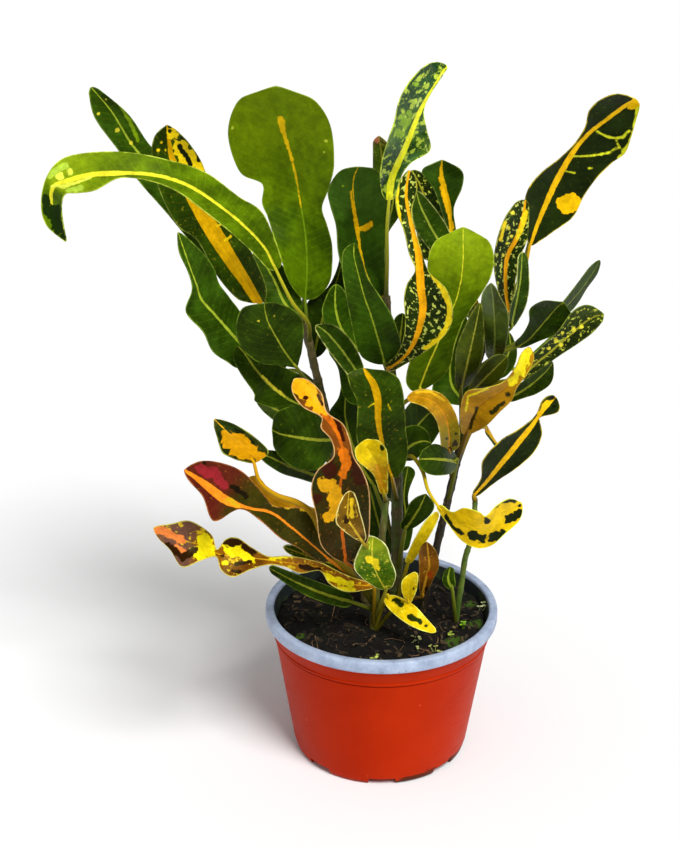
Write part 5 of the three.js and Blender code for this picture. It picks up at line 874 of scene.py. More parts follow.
def leaf_finish(name, look, gloss):
    """Make a leaf's skin: living flesh under a smooth waxy film, which gives it clear patches of
    pigment under soft broad lights. The light marks of top_twisted are painted highlights, glints
    laid into its colour."""
    material, tree, shader = new_finish(name, look["gloss"], look["shine"], 1.45, look["sheen"])
    flat = add(tree, "ShaderNodeUVMap", uv_map="leaf_map")["UV"]
    split = add(tree, "ShaderNodeSeparateXYZ", {0: flat})
    marks = {word: add(tree, "ShaderNodeAttribute", attribute_name=word)["Fac"] for word in
             ("rib_gap", "edge_gap", "light_gap", "dark_gap", "spot_gap", "tint", "back", "stalk")}
    # side veins leave the midrib at about 60 degrees, 4.5 mm apart
    off_rib = add(tree, "ShaderNodeMath", {0: split["Y"]}, operation="ABSOLUTE")[0]
    slope = add(tree, "ShaderNodeMath", {0: off_rib, 1: -0.6, 2: split["X"]},
                operation="MULTIPLY_ADD")[0]
    vein_gap = add(tree, "ShaderNodeMath", {0: slope, 1: 2.25 * MM}, operation="PINGPONG")[0]
    grains = {}
    for word, size in (("broad", 12.0), ("patchy", 4.0), ("blotch", look["blotch_mm"]),
                       ("fine", 1.1), ("speck", 1.3), ("jitter", 1.5)):
        grains[word] = add(tree, "ShaderNodeTexNoise", {
            "Vector": flat, "Scale": 1.1 * NOISE_MM / size, "Detail": 3.0 if size > 1.5 else 1.0,
            "Roughness": 0.6})["Fac"]
    turned = add(tree, "ShaderNodeMath", {0: grains["broad"], 1: 0.7, 2: marks["tint"]},
                 operation="MULTIPLY_ADD")[0]
    # blotch is the share of the leaf, and the noise keeps mostly between 0.3 and 0.7
    brim = 0.72 - 0.42 * look["blotch"]
    # each coat: its field, where that starts and ends, its share there, its colour and its blend
    coats = [
        (grains["broad"], 0.36, 0.64, 0.0, 1.0, "mid", "SMOOTHSTEP"),
        (turned, 0.55, 1.15, 0.0, 1.0, "tint", "SMOOTHSTEP"),
        (vein_gap, 0.0, 0.45 * MM, 0.2 * look["veins"], 0.0, "pale", "LINEAR"),
        (grains["blotch"], brim - 0.03, brim + 0.05, 0.0, min(0.9, 4 * look["blotch"]), "pale",
         "SMOOTHSTEP"),
        (grains["speck"], 0.66, 0.72, 0.0, min(0.9, 3 * look["blotch"]), "pale", "LINEAR"),
        (marks["back"], 0.0, 1.0, 0.0, 0.6, "back", "LINEAR")]
    # the pale margin is broken, and nearly lost in places
    whole = add(tree, "ShaderNodeMapRange", {
        "Value": grains["patchy"], "From Min": 0.38, "From Max": 0.6, "To Min": look["margin"],
        "To Max": 1.0})[0]
    # each mark: how far in mm its outline is broken up, and half the width of its soft edge; the
    # margin is 0.45 mm wide
    for word, jitter, soft in (("rib", 0.8, 0.25), ("spot", 0.9, 0.5), ("light", 1.3, 0.4),
                               ("dark", 1.2, 0.35), ("edge", 0.5, 0.25)):
        gap = add(tree, "ShaderNodeMath", {0: grains["jitter"], 1: jitter, 2: marks[word + "_gap"]},
                  operation="MULTIPLY_ADD")[0]
        width, share = (0.45, whole) if word == "edge" else (0.0, 1.0)
        brink = 0.5 * jitter + width
        coats.append((gap, brink - soft, brink + soft, share, 0.0, word, "SMOOTHSTEP"))
    base = colour(look["deep"])
    for field, start, end, least, most, word, blend in coats:
        base = coat(tree, base, colour(look[word]), field, start, end, least, most, blend)
    # sap and thickness vary, so no patch is of one even colour
    for word, low, high in (("patchy", 0.8, 1.16), ("fine", 0.92, 1.07)):
        depth = add(tree, "ShaderNodeMapRange", {
            "Value": grains[word], "From Min": 0.35, "From Max": 0.65, "To Min": low,
            "To Max": high})[0]
        base = add(tree, "ShaderNodeVectorMath", {0: base, "Scale": depth}, operation="SCALE")[0]
    stalk = coat(tree, colour(STALK_FOOT), colour(look["rib"]), marks["tint"], 0.0, 1.0)
    base = coat(tree, base, stalk, marks["stalk"], 0.0, 1.0)
    worn = add(tree, "ShaderNodeMapRange", {
        "Value": grains["broad"], "From Min": 0.3, "From Max": 0.7,
        "To Min": look["gloss"] * gloss - 0.04, "To Max": look["gloss"] * gloss + 0.08})[0]
    rough = add(tree, "ShaderNodeMath", {0: marks["back"], 1: 0.18, 2: worn},
                operation="MULTIPLY_ADD")[0]
    # the flesh swells between the side veins, and the skin is faintly pebbled
    height = add(tree, "ShaderNodeMapRange", {
        "Value": vein_gap, "From Min": 0.0, "From Max": 1.6 * MM, "To Max": 0.3},
        interpolation_type="SMOOTHSTEP")[0]
    for word, rise in (("fine", 0.35), ("patchy", 2.0)):
        height = add(tree, "ShaderNodeMath", {0: grains[word], 1: rise, 2: height},
                     operation="MULTIPLY_ADD")[0]
    finish_surface(tree, shader, base, rough, height, 0.12)
    return material


def pot_finish(sizes):
    """Make the pot's outside: injection-moulded polypropylene, dyed a brick red, which gives it an
    even colour with soft lights, a few pale nicks, and mix stains on its feet."""
    material, tree, shader = new_finish(
        "Polypropylene moulded brick red", 0.5, 0.06, 1.49, "ff8a58")
    place = add(tree, "ShaderNodeTexCoord")["Object"]
    split = add(tree, "ShaderNodeSeparateXYZ", {0: place})
    broad = add(tree, "ShaderNodeTexNoise", {
        "Vector": place, "Scale": NOISE_MM / 30, "Detail": 3.0})["Fac"]
    fine = add(tree, "ShaderNodeTexNoise", {
        "Vector": place, "Scale": NOISE_MM / 0.8, "Detail": 2.0})["Fac"]
    stretched = add(tree, "ShaderNodeMapping", {0: place, "Scale": (1.0, 1.0, 6.0)})[0]
    rubbed = add(tree, "ShaderNodeTexNoise", {
        "Vector": stretched, "Scale": NOISE_MM / 6, "Detail": 4.0, "Roughness": 0.7})["Fac"]
    nicks = add(tree, "ShaderNodeTexVoronoi", {"Vector": place, "Scale": CELL_MM / 13})
    base = coat(tree, (*sizes.wall_colour, 1.0), colour("b82c05"), broad, 0.3, 0.7)
    base = coat(tree, base, colour("8a1f04"), rubbed, 0.6, 0.8, most=0.35)
    base = coat(tree, base, colour("d8653a"), nicks["Distance"], 0.035, 0.07, 0.6, 0.0)
    # watering carries mix down to the feet, more on the right
    low = rubbed
    for word, start, end, least, most in (("Z", 0.5, 9, 0.42, -0.25), ("X", 2, 12, -0.12, 0.3)):
        near = add(tree, "ShaderNodeMapRange", {
            "Value": split[word], "From Min": start * MM, "From Max": end * MM, "To Min": least,
            "To Max": most})[0]
        low = add(tree, "ShaderNodeMath", {0: low, 1: near}, operation="ADD")[0]
    base = coat(tree, base, colour("3a2412"), low, 0.86, 0.95, most=0.85)
    rough = add(tree, "ShaderNodeMapRange", {
        "Value": rubbed, "From Min": 0.3, "From Max": 0.75, "To Min": 0.36, "To Max": 0.56})[0]
    finish_surface(tree, shader, base, rough, fine, 0.05)
    return material


def lip_finish(sizes):
    """Make the pot's lip: the same moulded plastic, left pale and rubbed by handling, which gives
    it a dull blue-white band with dark scuffs."""
    material, tree, shader = new_finish("Polypropylene moulded pale", 0.5, 0.3, 1.49)
    place = add(tree, "ShaderNodeTexCoord")["Object"]
    broad = add(tree, "ShaderNodeTexNoise", {
        "Vector": place, "Scale": NOISE_MM / 7, "Detail": 4.0, "Roughness": 0.7})["Fac"]
    fine = add(tree, "ShaderNodeTexNoise", {
        "Vector": place, "Scale": NOISE_MM / 1.6, "Detail": 3.0, "Roughness": 0.7})["Fac"]
    base = coat(tree, colour("8d9bb4"), (*sizes.lip_colour, 1.0), broad, 0.35, 0.65)
    base = coat(tree, base, colour("56617a"), fine, 0.63, 0.72, most=0.65)
    rough = add(tree, "ShaderNodeMapRange", {
        "Value": fine, "From Min": 0.3, "From Max": 0.7, "To Min": 0.42, "To Max": 0.62})[0]
    finish_surface(tree, shader, base, rough, fine, 0.06)
    return material


def wall_finish():
    """Make the pot's inside: damp dark moulded plastic, which a film of green algae dulls."""
    material, tree, shader = new_finish("Polypropylene moulded dark, damp", 0.5, 0.45, 1.49)
    place = add(tree, "ShaderNodeTexCoord")["Object"]
    film = add(tree, "ShaderNodeTexNoise", {
        "Vector": place, "Scale": NOISE_MM / 5, "Detail": 5.0, "Roughness": 0.7})["Fac"]
    base = coat(tree, colour("20282a"), colour("3c4a20"), film, 0.48, 0.66)
    rough = add(tree, "ShaderNodeMapRange", {"Value": film, "To Min": 0.35, "To Max": 0.75})[0]
    finish_surface(tree, shader, base, rough, film, 0.2)
    return material


def mix_finish():
    """Make the potting mix: damp peat and composted bark, which gives a near-black crumb with
    lighter grains and moss where the light falls."""
    material, tree, shader = new_finish("Peat and composted bark", 0.9, 0.3, 1.4)
    place = add(tree, "ShaderNodeTexCoord")["Object"]
    moss = add(tree, "ShaderNodeAttribute", attribute_name="moss")["Fac"]
    lumps = add(tree, "ShaderNodeTexVoronoi", {"Vector": place, "Scale": CELL_MM / 2.4})
    base = colour("070603")
    grains = {}
    for word, size, start, end, shade in (
            ("crumb", 2.6, 0.46, 0.66, "17110a"), ("grain", 0.9, 0.62, 0.72, "3a2c1c"),
            ("patch", 12.0, 0.52, 0.66, "11140a")):
        grains[word] = add(tree, "ShaderNodeTexNoise", {
            "Vector": place, "Scale": NOISE_MM / size, "Detail": 4.0, "Roughness": 0.7})["Fac"]
        base = coat(tree, base, colour(shade), grains[word], start, end, most=0.85)
    green = add(tree, "ShaderNodeMath", {0: moss, 1: grains["grain"]}, operation="ADD")[0]
    base = coat(tree, base, colour("3e5a12"), green, 0.95, 1.25, most=0.9)
    rough = add(tree, "ShaderNodeMapRange", {
        "Value": grains["crumb"], "To Min": 0.7, "To Max": 1.0})[0]
    height = add(tree, "ShaderNodeMath", {0: lumps["Distance"], 1: 0.6, 2: grains["grain"]},
                 operation="MULTIPLY_ADD")[0]
    finish_surface(tree, shader, base, rough, height, 0.8)
    return material


def toned_finish(name, dark, light, size, roughness, depth):
    """Make a rough natural surface whose pieces run from dark to light by their own tone: bark,
    fibre and seedlings, with a grain as wide as size and as deep as depth in mm."""
    material, tree, shader = new_finish(name, roughness, 0.35, 1.45)
    place = add(tree, "ShaderNodeTexCoord")["Object"]
    tone = add(tree, "ShaderNodeAttribute", attribute_name="tone")["Fac"]
    grain = add(tree, "ShaderNodeTexNoise", {
        "Vector": place, "Scale": NOISE_MM / size, "Detail": 4.0, "Roughness": 0.7})["Fac"]
    share = add(tree, "ShaderNodeMath", {0: grain, 1: 0.5, 2: tone},
                operation="MULTIPLY_ADD")[0]
    base = coat(tree, colour(dark), colour(light), share, 0.2, 1.25)
    rough = add(tree, "ShaderNodeMapRange", {
        "Value": grain, "To Min": roughness - 0.1, "To Max": roughness + 0.1})[0]
    finish_surface(tree, shader, base, rough, grain, depth)
    return material


def stem_finish(name, young, old):
    """Make a stem's skin: thin bark over green wood, ringed where leaves fell, which gives it dull
    streaks of green, tan and grey."""
    material, tree, shader = new_finish(name, 0.6, 0.4, 1.45)
    place = add(tree, "ShaderNodeTexCoord")["Object"]
    drawn = add(tree, "ShaderNodeMapping", {0: place, "Scale": (1.0, 1.0, 0.25)})[0]
    streak = add(tree, "ShaderNodeTexNoise", {
        "Vector": drawn, "Scale": NOISE_MM / 0.9, "Detail": 4.0, "Roughness": 0.7})["Fac"]
    patch = add(tree, "ShaderNodeTexNoise", {
        "Vector": place, "Scale": NOISE_MM / 5, "Detail": 3.0})["Fac"]
    base = coat(tree, colour(young), colour(old), patch, 0.38, 0.62)
    base = coat(tree, base, colour("8f8256"), streak, 0.56, 0.72, most=0.7)
    rough = add(tree, "ShaderNodeMapRange", {"Value": streak, "To Min": 0.5, "To Max": 0.8})[0]
    finish_surface(tree, shader, base, rough, streak, 0.5)
    return material


# ---------------------------------------------------------------- pot
# Sizes in mm, with heights from the pot's underside.

POT_HEIGHT = 93.7
RIM_RADIUS = 70.0
BASE_RADIUS = 53.0
LIP_OUT = 2.5
LIP_LOW = 86.3
WALL = 1.6
RING_LOW, RING_HIGH = 74.7, 76.7
FLOOR_TOP = 4.4
HOLES, HOLE_RADIUS, HOLE_CIRCLE = 6, 4.0, 29.0
NOTCHES, NOTCH_CIRCLE, NOTCH_REACH, NOTCH_RISE = 8, 49.0, 8.0, 4.0
CRISP = math.radians(50)
WELD_MM = 0.001

BOX_CORNERS = np.array([(a, b, c) for a in (-1, 1) for b in (-1, 1) for c in (-1, 1)], float)
BOX_FACES = [(0, 1, 3, 2), (4, 6, 7, 5), (0, 4, 5, 1), (2, 3, 7, 6), (0, 2, 6, 4), (1, 5, 7, 3)]


def outer_radius(z):
    """Return the pot wall's outer radius at a height."""
    return BASE_RADIUS + (RIM_RADIUS - LIP_OUT - BASE_RADIUS) * z / POT_HEIGHT


def pot_profile():
    """Return the pot's section as (radius, height), from the underside's middle up the outside,
    over the lip and down the inside to the floor's middle."""
    outside = [(0, 0), (15, 0), (16.5, 2.4), (40, 2.4), (41, 0), (50.8, 0), (51.8, 0.4),
               (52.5, 1.1), (BASE_RADIUS, 2.6)]
    outside += [(outer_radius(z), z) for z in (6, 22, 40, 58, 70, RING_LOW - 0.6)]
    low, high = outer_radius(RING_LOW), outer_radius(RING_HIGH)
    outside += [(low - 0.9, RING_LOW), (low + 0.5, RING_LOW + 0.5), (high + 0.6, RING_HIGH - 0.3),
                (high + 0.2, RING_HIGH + 0.3), (67.4, 84), (68.0, LIP_LOW - 0.3)]
    lip = [(69.2, LIP_LOW), (69.8, LIP_LOW + 0.5), (RIM_RADIUS, LIP_LOW + 1.5),
           (RIM_RADIUS, 92.2), (69.7, 93.1), (69, 93.6), (68, POT_HEIGHT), (66.4, POT_HEIGHT),
           (65.5, 93.4), (65, 92.7), (64.9, 91.4)]
    inside = [(outer_radius(LIP_LOW - 4) - WALL - 1, LIP_LOW - 4)]
    inside += [(outer_radius(z) - WALL, z) for z in (70, 40, FLOOR_TOP + 6)]
    inside += [(outer_radius(FLOOR_TOP) - WALL - 4, FLOOR_TOP), (0, FLOOR_TOP)]
    return outside, lip, inside


def pot_cutters():
    """Return bodies with the form of the pot's drainage holes and of the notches in its foot."""
    cutters = []
    for i, turn in enumerate(circle(HOLES)):
        x, y = HOLE_CIRCLE * math.cos(turn), HOLE_CIRCLE * math.sin(turn)
        shaft = tube([(x, y, -3.0), (x, y, 9.0)], (HOLE_RADIUS, HOLE_RADIUS), 24)
        cutters.append(make_piece(f"hole_{i}", *shaft, smooth=False))
    for i, turn in enumerate(circle(NOTCHES)):
        out = np.array((math.cos(turn), math.sin(turn), 0))
        side = np.array((-out[1], out[0], 0))
        box = np.array([out * (NOTCH_CIRCLE + NOTCH_REACH * a) + side * NOTCH_REACH * b
                        + (0, 0, NOTCH_RISE * c) for a, b, c in BOX_CORNERS])
        cutters.append(make_piece(f"notch_{i}", box, outward(box, BOX_FACES), smooth=False))
    return cutters


def make_pot(sizes):
    """Turn the pot's section about its axis, cut its holes and notches, and dress it."""
    outside, lip, inside = pot_profile()
    section = outside + lip + inside
    sides = sizes.sides
    angles = circle(sides)
    rings = [np.column_stack((radius * np.cos(angles), radius * np.sin(angles), np.full(sides, z)))
             for radius, z in section[1:-1]]
    poles = [(0, 0, section[0][1]), (0, 0, section[-1][1])]
    points = np.vstack(rings + [poles])
    faces = ring_faces(len(rings), sides)
    # each face takes the finish of the part of the section that it is turned from
    kinds = []
    for face in faces:
        part = min(face) // sides + 1
        kinds.append(0 if part < len(outside) else 1 if part < len(outside) + len(lip) - 1 else 2)
    piece = make_piece("pot_shell", points, outward(points, faces))
    for finish in (pot_finish(sizes), lip_finish(sizes), wall_finish()):
        piece.data.materials.append(finish)
    piece.data.polygons.foreach_set("material_index", np.array(kinds, np.int32))
    cutters = pot_cutters()
    for cutter in cutters:
        cut = piece.modifiers.new(cutter.name, "BOOLEAN")
        cut.object = cutter
        cut.solver = "EXACT"
    graph = bpy.context.evaluated_depsgraph_get()
    shaped = bpy.data.meshes.new_from_object(piece.evaluated_get(graph))
    piece.modifiers.clear()
    piece.data = shaped
    shaped.name = "pot_shell"
    for cutter in cutters:
        bpy.data.objects.remove(cutter)
    # the cuts leave doubled points and open a facet or two of the holes' walls
    body = bmesh.new()
    body.from_mesh(shaped)
    bmesh.ops.remove_doubles(body, verts=body.verts, dist=WELD_MM * MM)
    bmesh.ops.holes_fill(body, edges=[edge for edge in body.edges if edge.is_boundary])
    bmesh.ops.recalc_face_normals(body, faces=body.faces)
    body.to_mesh(shaped)
    body.free()
    shaped.shade_smooth()
    shaped.set_sharp_from_angle(angle=CRISP)
    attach(piece, "root")
    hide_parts("pot")


# ---------------------------------------------------------------- mix, chips and seedlings
# Where moss grows on the mix: (column, row, radius in mm).

MOSS_SPOTS = ((455, 642, 9), (475, 624, 8), (436, 658, 7), (420, 663, 6), (300, 636, 5),
              (348, 662, 5), (470, 605, 7))
MIX_BOTTOM = 4.9
MIX_SIDES = 150
MIX_RINGS = 56
SHARE_OF_EDGE = 0.06


def anywhere(chance, reach):
    """Return a chance place (x, y) within reach mm of the pot's axis."""
    turn, far = chance.uniform(0, math.tau), reach * math.sqrt(chance.uniform())
    return far * math.cos(turn), far * math.sin(turn)


def mix_height(x, y, lumps):
    """Return the mix's height in mm at a place: its slow rise and fall and its lumps."""
    slow = np.sin(0.11 * x + 0.4) * np.cos(0.13 * y - 0.7)
    middle = 0.5 * np.sin(0.37 * x + 0.29 * y) + 0.4 * np.cos(0.23 * x - 0.41 * y)
    height = SOIL_TOP + 1.1 * (slow + middle)
    for cx, cy, radius, rise in lumps:
        near = 1 - ((x - cx) ** 2 + (y - cy) ** 2) / radius**2
        height = height + rise * np.sqrt(np.clip(near, 0, 1))
    return height


def make_mix(sizes):
    """Fill the pot with crumbly mix, and return its lumps as (x, y, radius, rise) in mm."""
    chance = np.random.default_rng(sizes.seed)
    lumps = [(*anywhere(chance, 62), chance.uniform(1.2, 4.2), chance.uniform(0.3, 1.7))
             for _ in range(sizes.lumps)]
    angles = circle(MIX_SIDES)
    round_x, round_y = np.cos(angles), np.sin(angles)
    wide = outer_radius(SOIL_TOP - 3) - 2.7
    rings = [(radius * round_x, radius * round_y, np.full(MIX_SIDES, z)) for radius, z in (
        (47.0, MIX_BOTTOM), (49.8, 11.0), (outer_radius(40) - 2.2, 40.0), (wide - 0.2, 78.0))]
    for part in np.linspace(1.0, 0.02, MIX_RINGS):
        x, y = wide * part * round_x, wide * part * round_y
        fall = 1.6 * max(0.0, (part - 1 + SHARE_OF_EDGE) / SHARE_OF_EDGE) ** 2
        rings.append((x, y, mix_height(x, y, lumps) - fall))
    poles = [(0, 0, MIX_BOTTOM), (0, 0, mix_height(0, 0, lumps))]
    points = np.vstack([np.column_stack(ring) for ring in rings] + [poles])
    faces = ring_faces(len(rings), MIX_SIDES)
    piece = make_piece("potting_mix_crumb", points, outward(points, faces))
    moss = np.zeros(len(points))
    for column, row, radius in MOSS_SPOTS:
        spot = on_mix(column, row)
        far = np.hypot(points[:, 0] - spot[0], points[:, 1] - spot[1])
        moss = np.maximum(moss, np.clip(1.15 - far / radius, 0, 1))
    store(piece, moss=moss * (points[:, 2] > SOIL_TOP / 2))
    piece.data.materials.append(mix_finish())
    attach(piece, "root")
    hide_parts("potting_mix")
    return lumps


def bark_chip(chance, lumps):
    """Return the points, faces and tone of a bark chip that lies on the mix."""
    x, y = anywhere(chance, 60)
    size = np.array([chance.uniform(*span) for span in ((1.2, 4.2), (0.7, 1.8), (0.4, 0.9))])
    corners = BOX_CORNERS * size / 1.6 * chance.uniform(0.7, 1.15, (8, 3))
    spin, lean, roll = chance.uniform(0, math.tau), chance.normal(0, 0.35), chance.normal(0, 0.35)
    up = Vector((math.sin(lean), math.sin(roll), 1))
    leaning = Vector((0, 0, 1)).rotation_difference(up).to_matrix()
    turning = np.array(leaning @ Matrix.Rotation(spin, 3, "Z"))
    corners = corners @ turning.T + (x, y, mix_height(x, y, lumps) + 0.15)
    tone = chance.choice((0.05, 0.2, 0.35, 1.0), p=(0.55, 0.3, 0.12, 0.03))
    return corners, outward(corners, BOX_FACES), tone


def root_fibre(chance, lumps):
    """Return the points, faces and tone of a dry root that arches over the mix."""
    start = np.array(anywhere(chance, 55))
    heading, bend = chance.uniform(0, math.tau), chance.normal(0, 0.9)
    long = chance.uniform(5, 17)
    line = []
    for part in np.linspace(0, 1, 9):
        angle = heading + bend * part
        spot = start + long * part * np.array((math.cos(angle), math.sin(angle)))
        spot *= min(1.0, 60 / max(np.hypot(*spot), 1e-6))
        arch = 1.3 * math.sin(math.pi * part) * abs(bend) / 2
        line.append((*spot, mix_height(*spot, lumps) + 0.2 + arch))
    rod = tube(line, np.full(len(line), chance.uniform(0.12, 0.28)), 5)
    return (*rod, chance.uniform(0, 1))


def make_litter(sizes, lumps):
    """Lay bark chips and fibres on the mix, and stand one twig in it."""
    chance = np.random.default_rng(sizes.seed + 1)
    chips = [bark_chip(chance, lumps) for _ in range(sizes.chips)]
    fibres = [root_fibre(chance, lumps) for _ in range(sizes.fibres)]
    twig = [on_mix(318, 652, 0.3), on_mix(317, 645, 4), on_mix(316, 640, 10), on_mix(315, 636, 15)]
    fibres.append((*tube(twig, (0.5, 0.45, 0.4, 0.25), 8), 0.6))
    bark = toned_finish("Pine bark, chipped", "0b0804", "6f5b3c", 0.8, 0.85, 0.3)
    coir = toned_finish("Coir and dry root", "2a1a0e", "8c6a4a", 0.6, 0.8, 0.1)
    join_shells("bark_chips", chips, bark, smooth=False)
    join_shells("root_fibres", fibres, coir)


def join_shells(name, shells, finish, smooth=True):
    """Make one piece of many small closed shells, each with a tone of its own."""
    points, faces, tones = [], [], []
    for shell, its_faces, tone in shells:
        start = len(tones)
        points.append(shell)
        faces += [tuple(int(v) + start for v in face) for face in its_faces]
        tones += [tone] * len(shell)
    piece = make_piece(name, np.vstack(points), faces, smooth=smooth)
    store(piece, tone=tones)
    piece.data.materials.append(finish)
    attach(piece, "root")


def make_seedlings(sizes):
    """Stand small seedlings on the mix, each with round seed leaves on a thin stalk."""
    chance = np.random.default_rng(sizes.seed + 2)
    for number, (column, row, tall, shade) in enumerate(SEEDLINGS):
        shells = []
        foot = on_mix(column, row)
        for _ in range(chance.integers(1, 4)):
            lean = chance.normal(0, 1.8, 2)
            top = foot + (*lean, tall * chance.uniform(0.6, 1.0))
            base = foot + (*lean * 0.3, -0.8)
            middle = (base + top) / 2 + (*lean * 0.15, 0.4)
            line = curve_at((base, middle, top), np.linspace(0, 1, 7))
            shells.append((*tube(line, np.linspace(0.3, 0.22, 7), 6), 0.3))
            turn = chance.uniform(0, math.tau)
            for side in (0, math.pi):
                wide = chance.uniform(0.7, 1.3)
                shells.append((*seed_leaf(top, turn + side, wide), chance.uniform(0.3, 1.0)))
        finish = toned_finish(f"Seedling leaf {number}", "4a5a1a", shade, 0.7, 0.5, 0.1)
        join_shells(f"seedling_{number}", shells, finish)


def seed_leaf(root, turn, wide):
    """Return the points and faces of a round cupped seed leaf that stands off its stalk's top."""
    sides, half = 14, 0.14
    out = np.array((math.cos(turn), math.sin(turn), 0.0))
    side = np.array((-out[1], out[0], 0.0))
    centre = root + out * wide * 0.95 + (0, 0, 0.25 * wide)
    parts = [ring / 5 for ring in range(1, 6)]
    rings = [(part, half) for part in parts] + [(part, -half) for part in parts[-2::-1]]
    points = []
    for part, lift in rings:
        dome = 0.35 * wide * part**2 + lift * math.sqrt(max(0.0, 1 - part**4))
        for angle in circle(sides):
            flat = out * math.cos(angle) + side * 0.85 * math.sin(angle)
            points.append(centre + flat * wide * part + (0, 0, dome))
    points = np.array(points + [centre + (0, 0, half), centre - (0, 0, half)])
    return points, outward(points, ring_faces(len(rings), sides))


# ---------------------------------------------------------------- stems

STEM_SHADES = {
    "left_shoot": ("3a3a12", "6a5a34"), "centre_shoot": ("3c4a10", "4a3a1c"),
    "right_shoot": ("1c1a0c", "2e2414"), "front_shoot": ("4a5a12", "5c4a20"),
    "small_shoot": ("3c5a10", "6a7a24"),
}
STEM_SIDES = 20
SCAR_SPACE = 7.5


def stem_curve(stem):
    """Return the points that a stem's middle passes, in mm."""
    x, y = stem["foot"]
    buried = ((x, y, STEM_FOOT), (x, y, (STEM_FOOT + SOIL_TOP) / 2 + 2), (x, y, SOIL_TOP + 4))
    return np.vstack((buried, seen(stem["path"])))


def make_stem(name, stem, sizes):
    """Grow a stem: a tapered, slightly uneven rod with rings of old leaf scars."""
    points = stem_curve(stem)
    long = np.linalg.norm(np.diff(points, axis=0), axis=1).sum()
    places = np.linspace(0, 1, int(long / sizes.stem_step))
    first, last = stem["radii"]
    scars = 0.5 + 0.5 * np.cos(places * long / SCAR_SPACE * math.tau)
    radii = (first + (last - first) * places) * (1 + 0.10 * scars**8)
    shell, faces = tube(curve_at(points, places), radii, STEM_SIDES)
    shell = shell + 0.12 * np.sin(shell * (2.1, 2.4, 0.7))
    piece = make_piece(f"{name}_stem", shell, outward(shell, faces))
    piece.data.materials.append(stem_finish(f"Croton bark {name}", *STEM_SHADES[name]))
    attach(piece, "root")
    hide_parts(name)


# ---------------------------------------------------------------- leaves
# An edge's ripple is at its full height from this breadth in mm, and the left edge's ripple is
# behind the right one's by this angle.

RIPPLE_BREADTH = 9.0
RIPPLE_SHIFT = 2.1
PATCHES = ("light", "dark", "spot")
NO_MARK = 99.0
STALK_SIDES = 12
STALK_TIP = 0.55
LEAF_CRISP = math.radians(60)
MAP_SPACE = 310.0


def leaf_surface(leaf, u, s):
    """Return a leaf's middle surface as (column, row, depth), at parts u of its length, from 0 to
    1, and s of its half breadth, from -1 to 1."""
    u, s = (part.ravel() for part in np.broadcast_arrays(u, s))
    rib = curve_at(leaf["rib"], u)
    left, right = curve_at(leaf["left"], u), curve_at(leaf["right"], u)
    spread = np.where(s[:, None] < 0, left, right) - rib[:, :2]
    a = np.abs(s)
    breadth = np.hypot(spread[:, 0], spread[:, 1]) * PIXEL_MM * np.sign(s)
    height, waves, phase = leaf["wave"]
    part = np.minimum(1, np.abs(breadth) / RIPPLE_BREADTH)
    shift = np.where(s > 0, 0, RIPPLE_SHIFT)
    ripple = height * part * a**2 * np.sin(math.tau * waves * u + phase + shift)
    cup = leaf["cup"] * part * a**1.5
    turn = curve_at(leaf["tilt"], u)[:, 0] * breadth * a
    return np.column_stack((rib[:, :2] + spread * a[:, None], rib[:, 2] - cup + turn + ripple))


def is_line(mark):
    """Tell whether a mark is a line of points, and not a round patch."""
    return isinstance(mark[1], tuple)


def gap_to(marks, pixels):
    """Return how far in mm each pixel is from the nearest mark: below 0 inside one. The pixels are
    pushed about for a patch, and a little for a thin line, which makes the outlines uneven."""
    gap = np.full(len(pixels), NO_MARK)
    push = np.zeros(pixels.shape)
    for reach, turns in ((1.3, (0.55, 0.31, -0.27, 0.61)), (0.8, (1.21, -0.83, 0.72, 1.13))):
        ways = pixels @ np.array(turns).reshape(2, 2)
        push += reach * np.column_stack((np.sin(ways[:, 0]), np.cos(ways[:, 1])))
    for mark in marks:
        if is_line(mark):
            half, *corners = mark
        else:
            half, corners = mark[2], [mark[:2], mark[:2]]
        moved = pixels + push * min(1, half / 6)
        for start, end in zip(corners, corners[1:]):
            start, way = np.array(start, float), np.subtract(end, start)
            part = np.clip((moved - start) @ way / max(way @ way, 1e-9), 0, 1)
            away = np.linalg.norm(moved - start - part[:, None] * way, axis=1)
            gap = np.minimum(gap, away - half)
    return gap * PIXEL_MM


def row_places(leaf, step, least_half):
    """Return where a blade's rows stand, from 0 to 1, the share of its breadth there, and their
    way along the rib in mm. The blade's ends are rounded, and its base narrows to least_half."""
    fine = np.linspace(0, 1, 400)
    rib = seen(curve_at(leaf["rib"], fine))
    travelled = np.concatenate(([0], np.cumsum(np.linalg.norm(np.diff(rib, axis=0), axis=1))))
    long = travelled[-1]
    base_half, tip_half = (
        np.hypot(*(leaf["left"][k] - leaf["right"][k])) * PIXEL_MM / 2 for k in (0, -1))
    base, tip = 1.2 * base_half + 0.5, 0.8 * tip_half + 1.0
    bends = 1 - np.cos(np.linspace(0, math.pi / 2, 9))
    places = np.concatenate((np.arange(0, long, step), base * bends, long - tip * bends))
    places = np.unique(np.round(np.clip(places, 0, long), 2))
    places = places[np.concatenate(([True], np.diff(places) > 0.12))]
    round_tip, round_base = (
        np.sqrt(np.clip(1 - (1 - np.minimum(way, end) / end) ** 2, 0, 1))
        for way, end in ((long - places, tip), (places, base)))
    least = min(1.0, least_half / max(base_half, 0.1))
    share = np.maximum(round_tip, 0.07) * (least + (1 - least) * round_base)
    return np.interp(places, travelled, fine), share, places


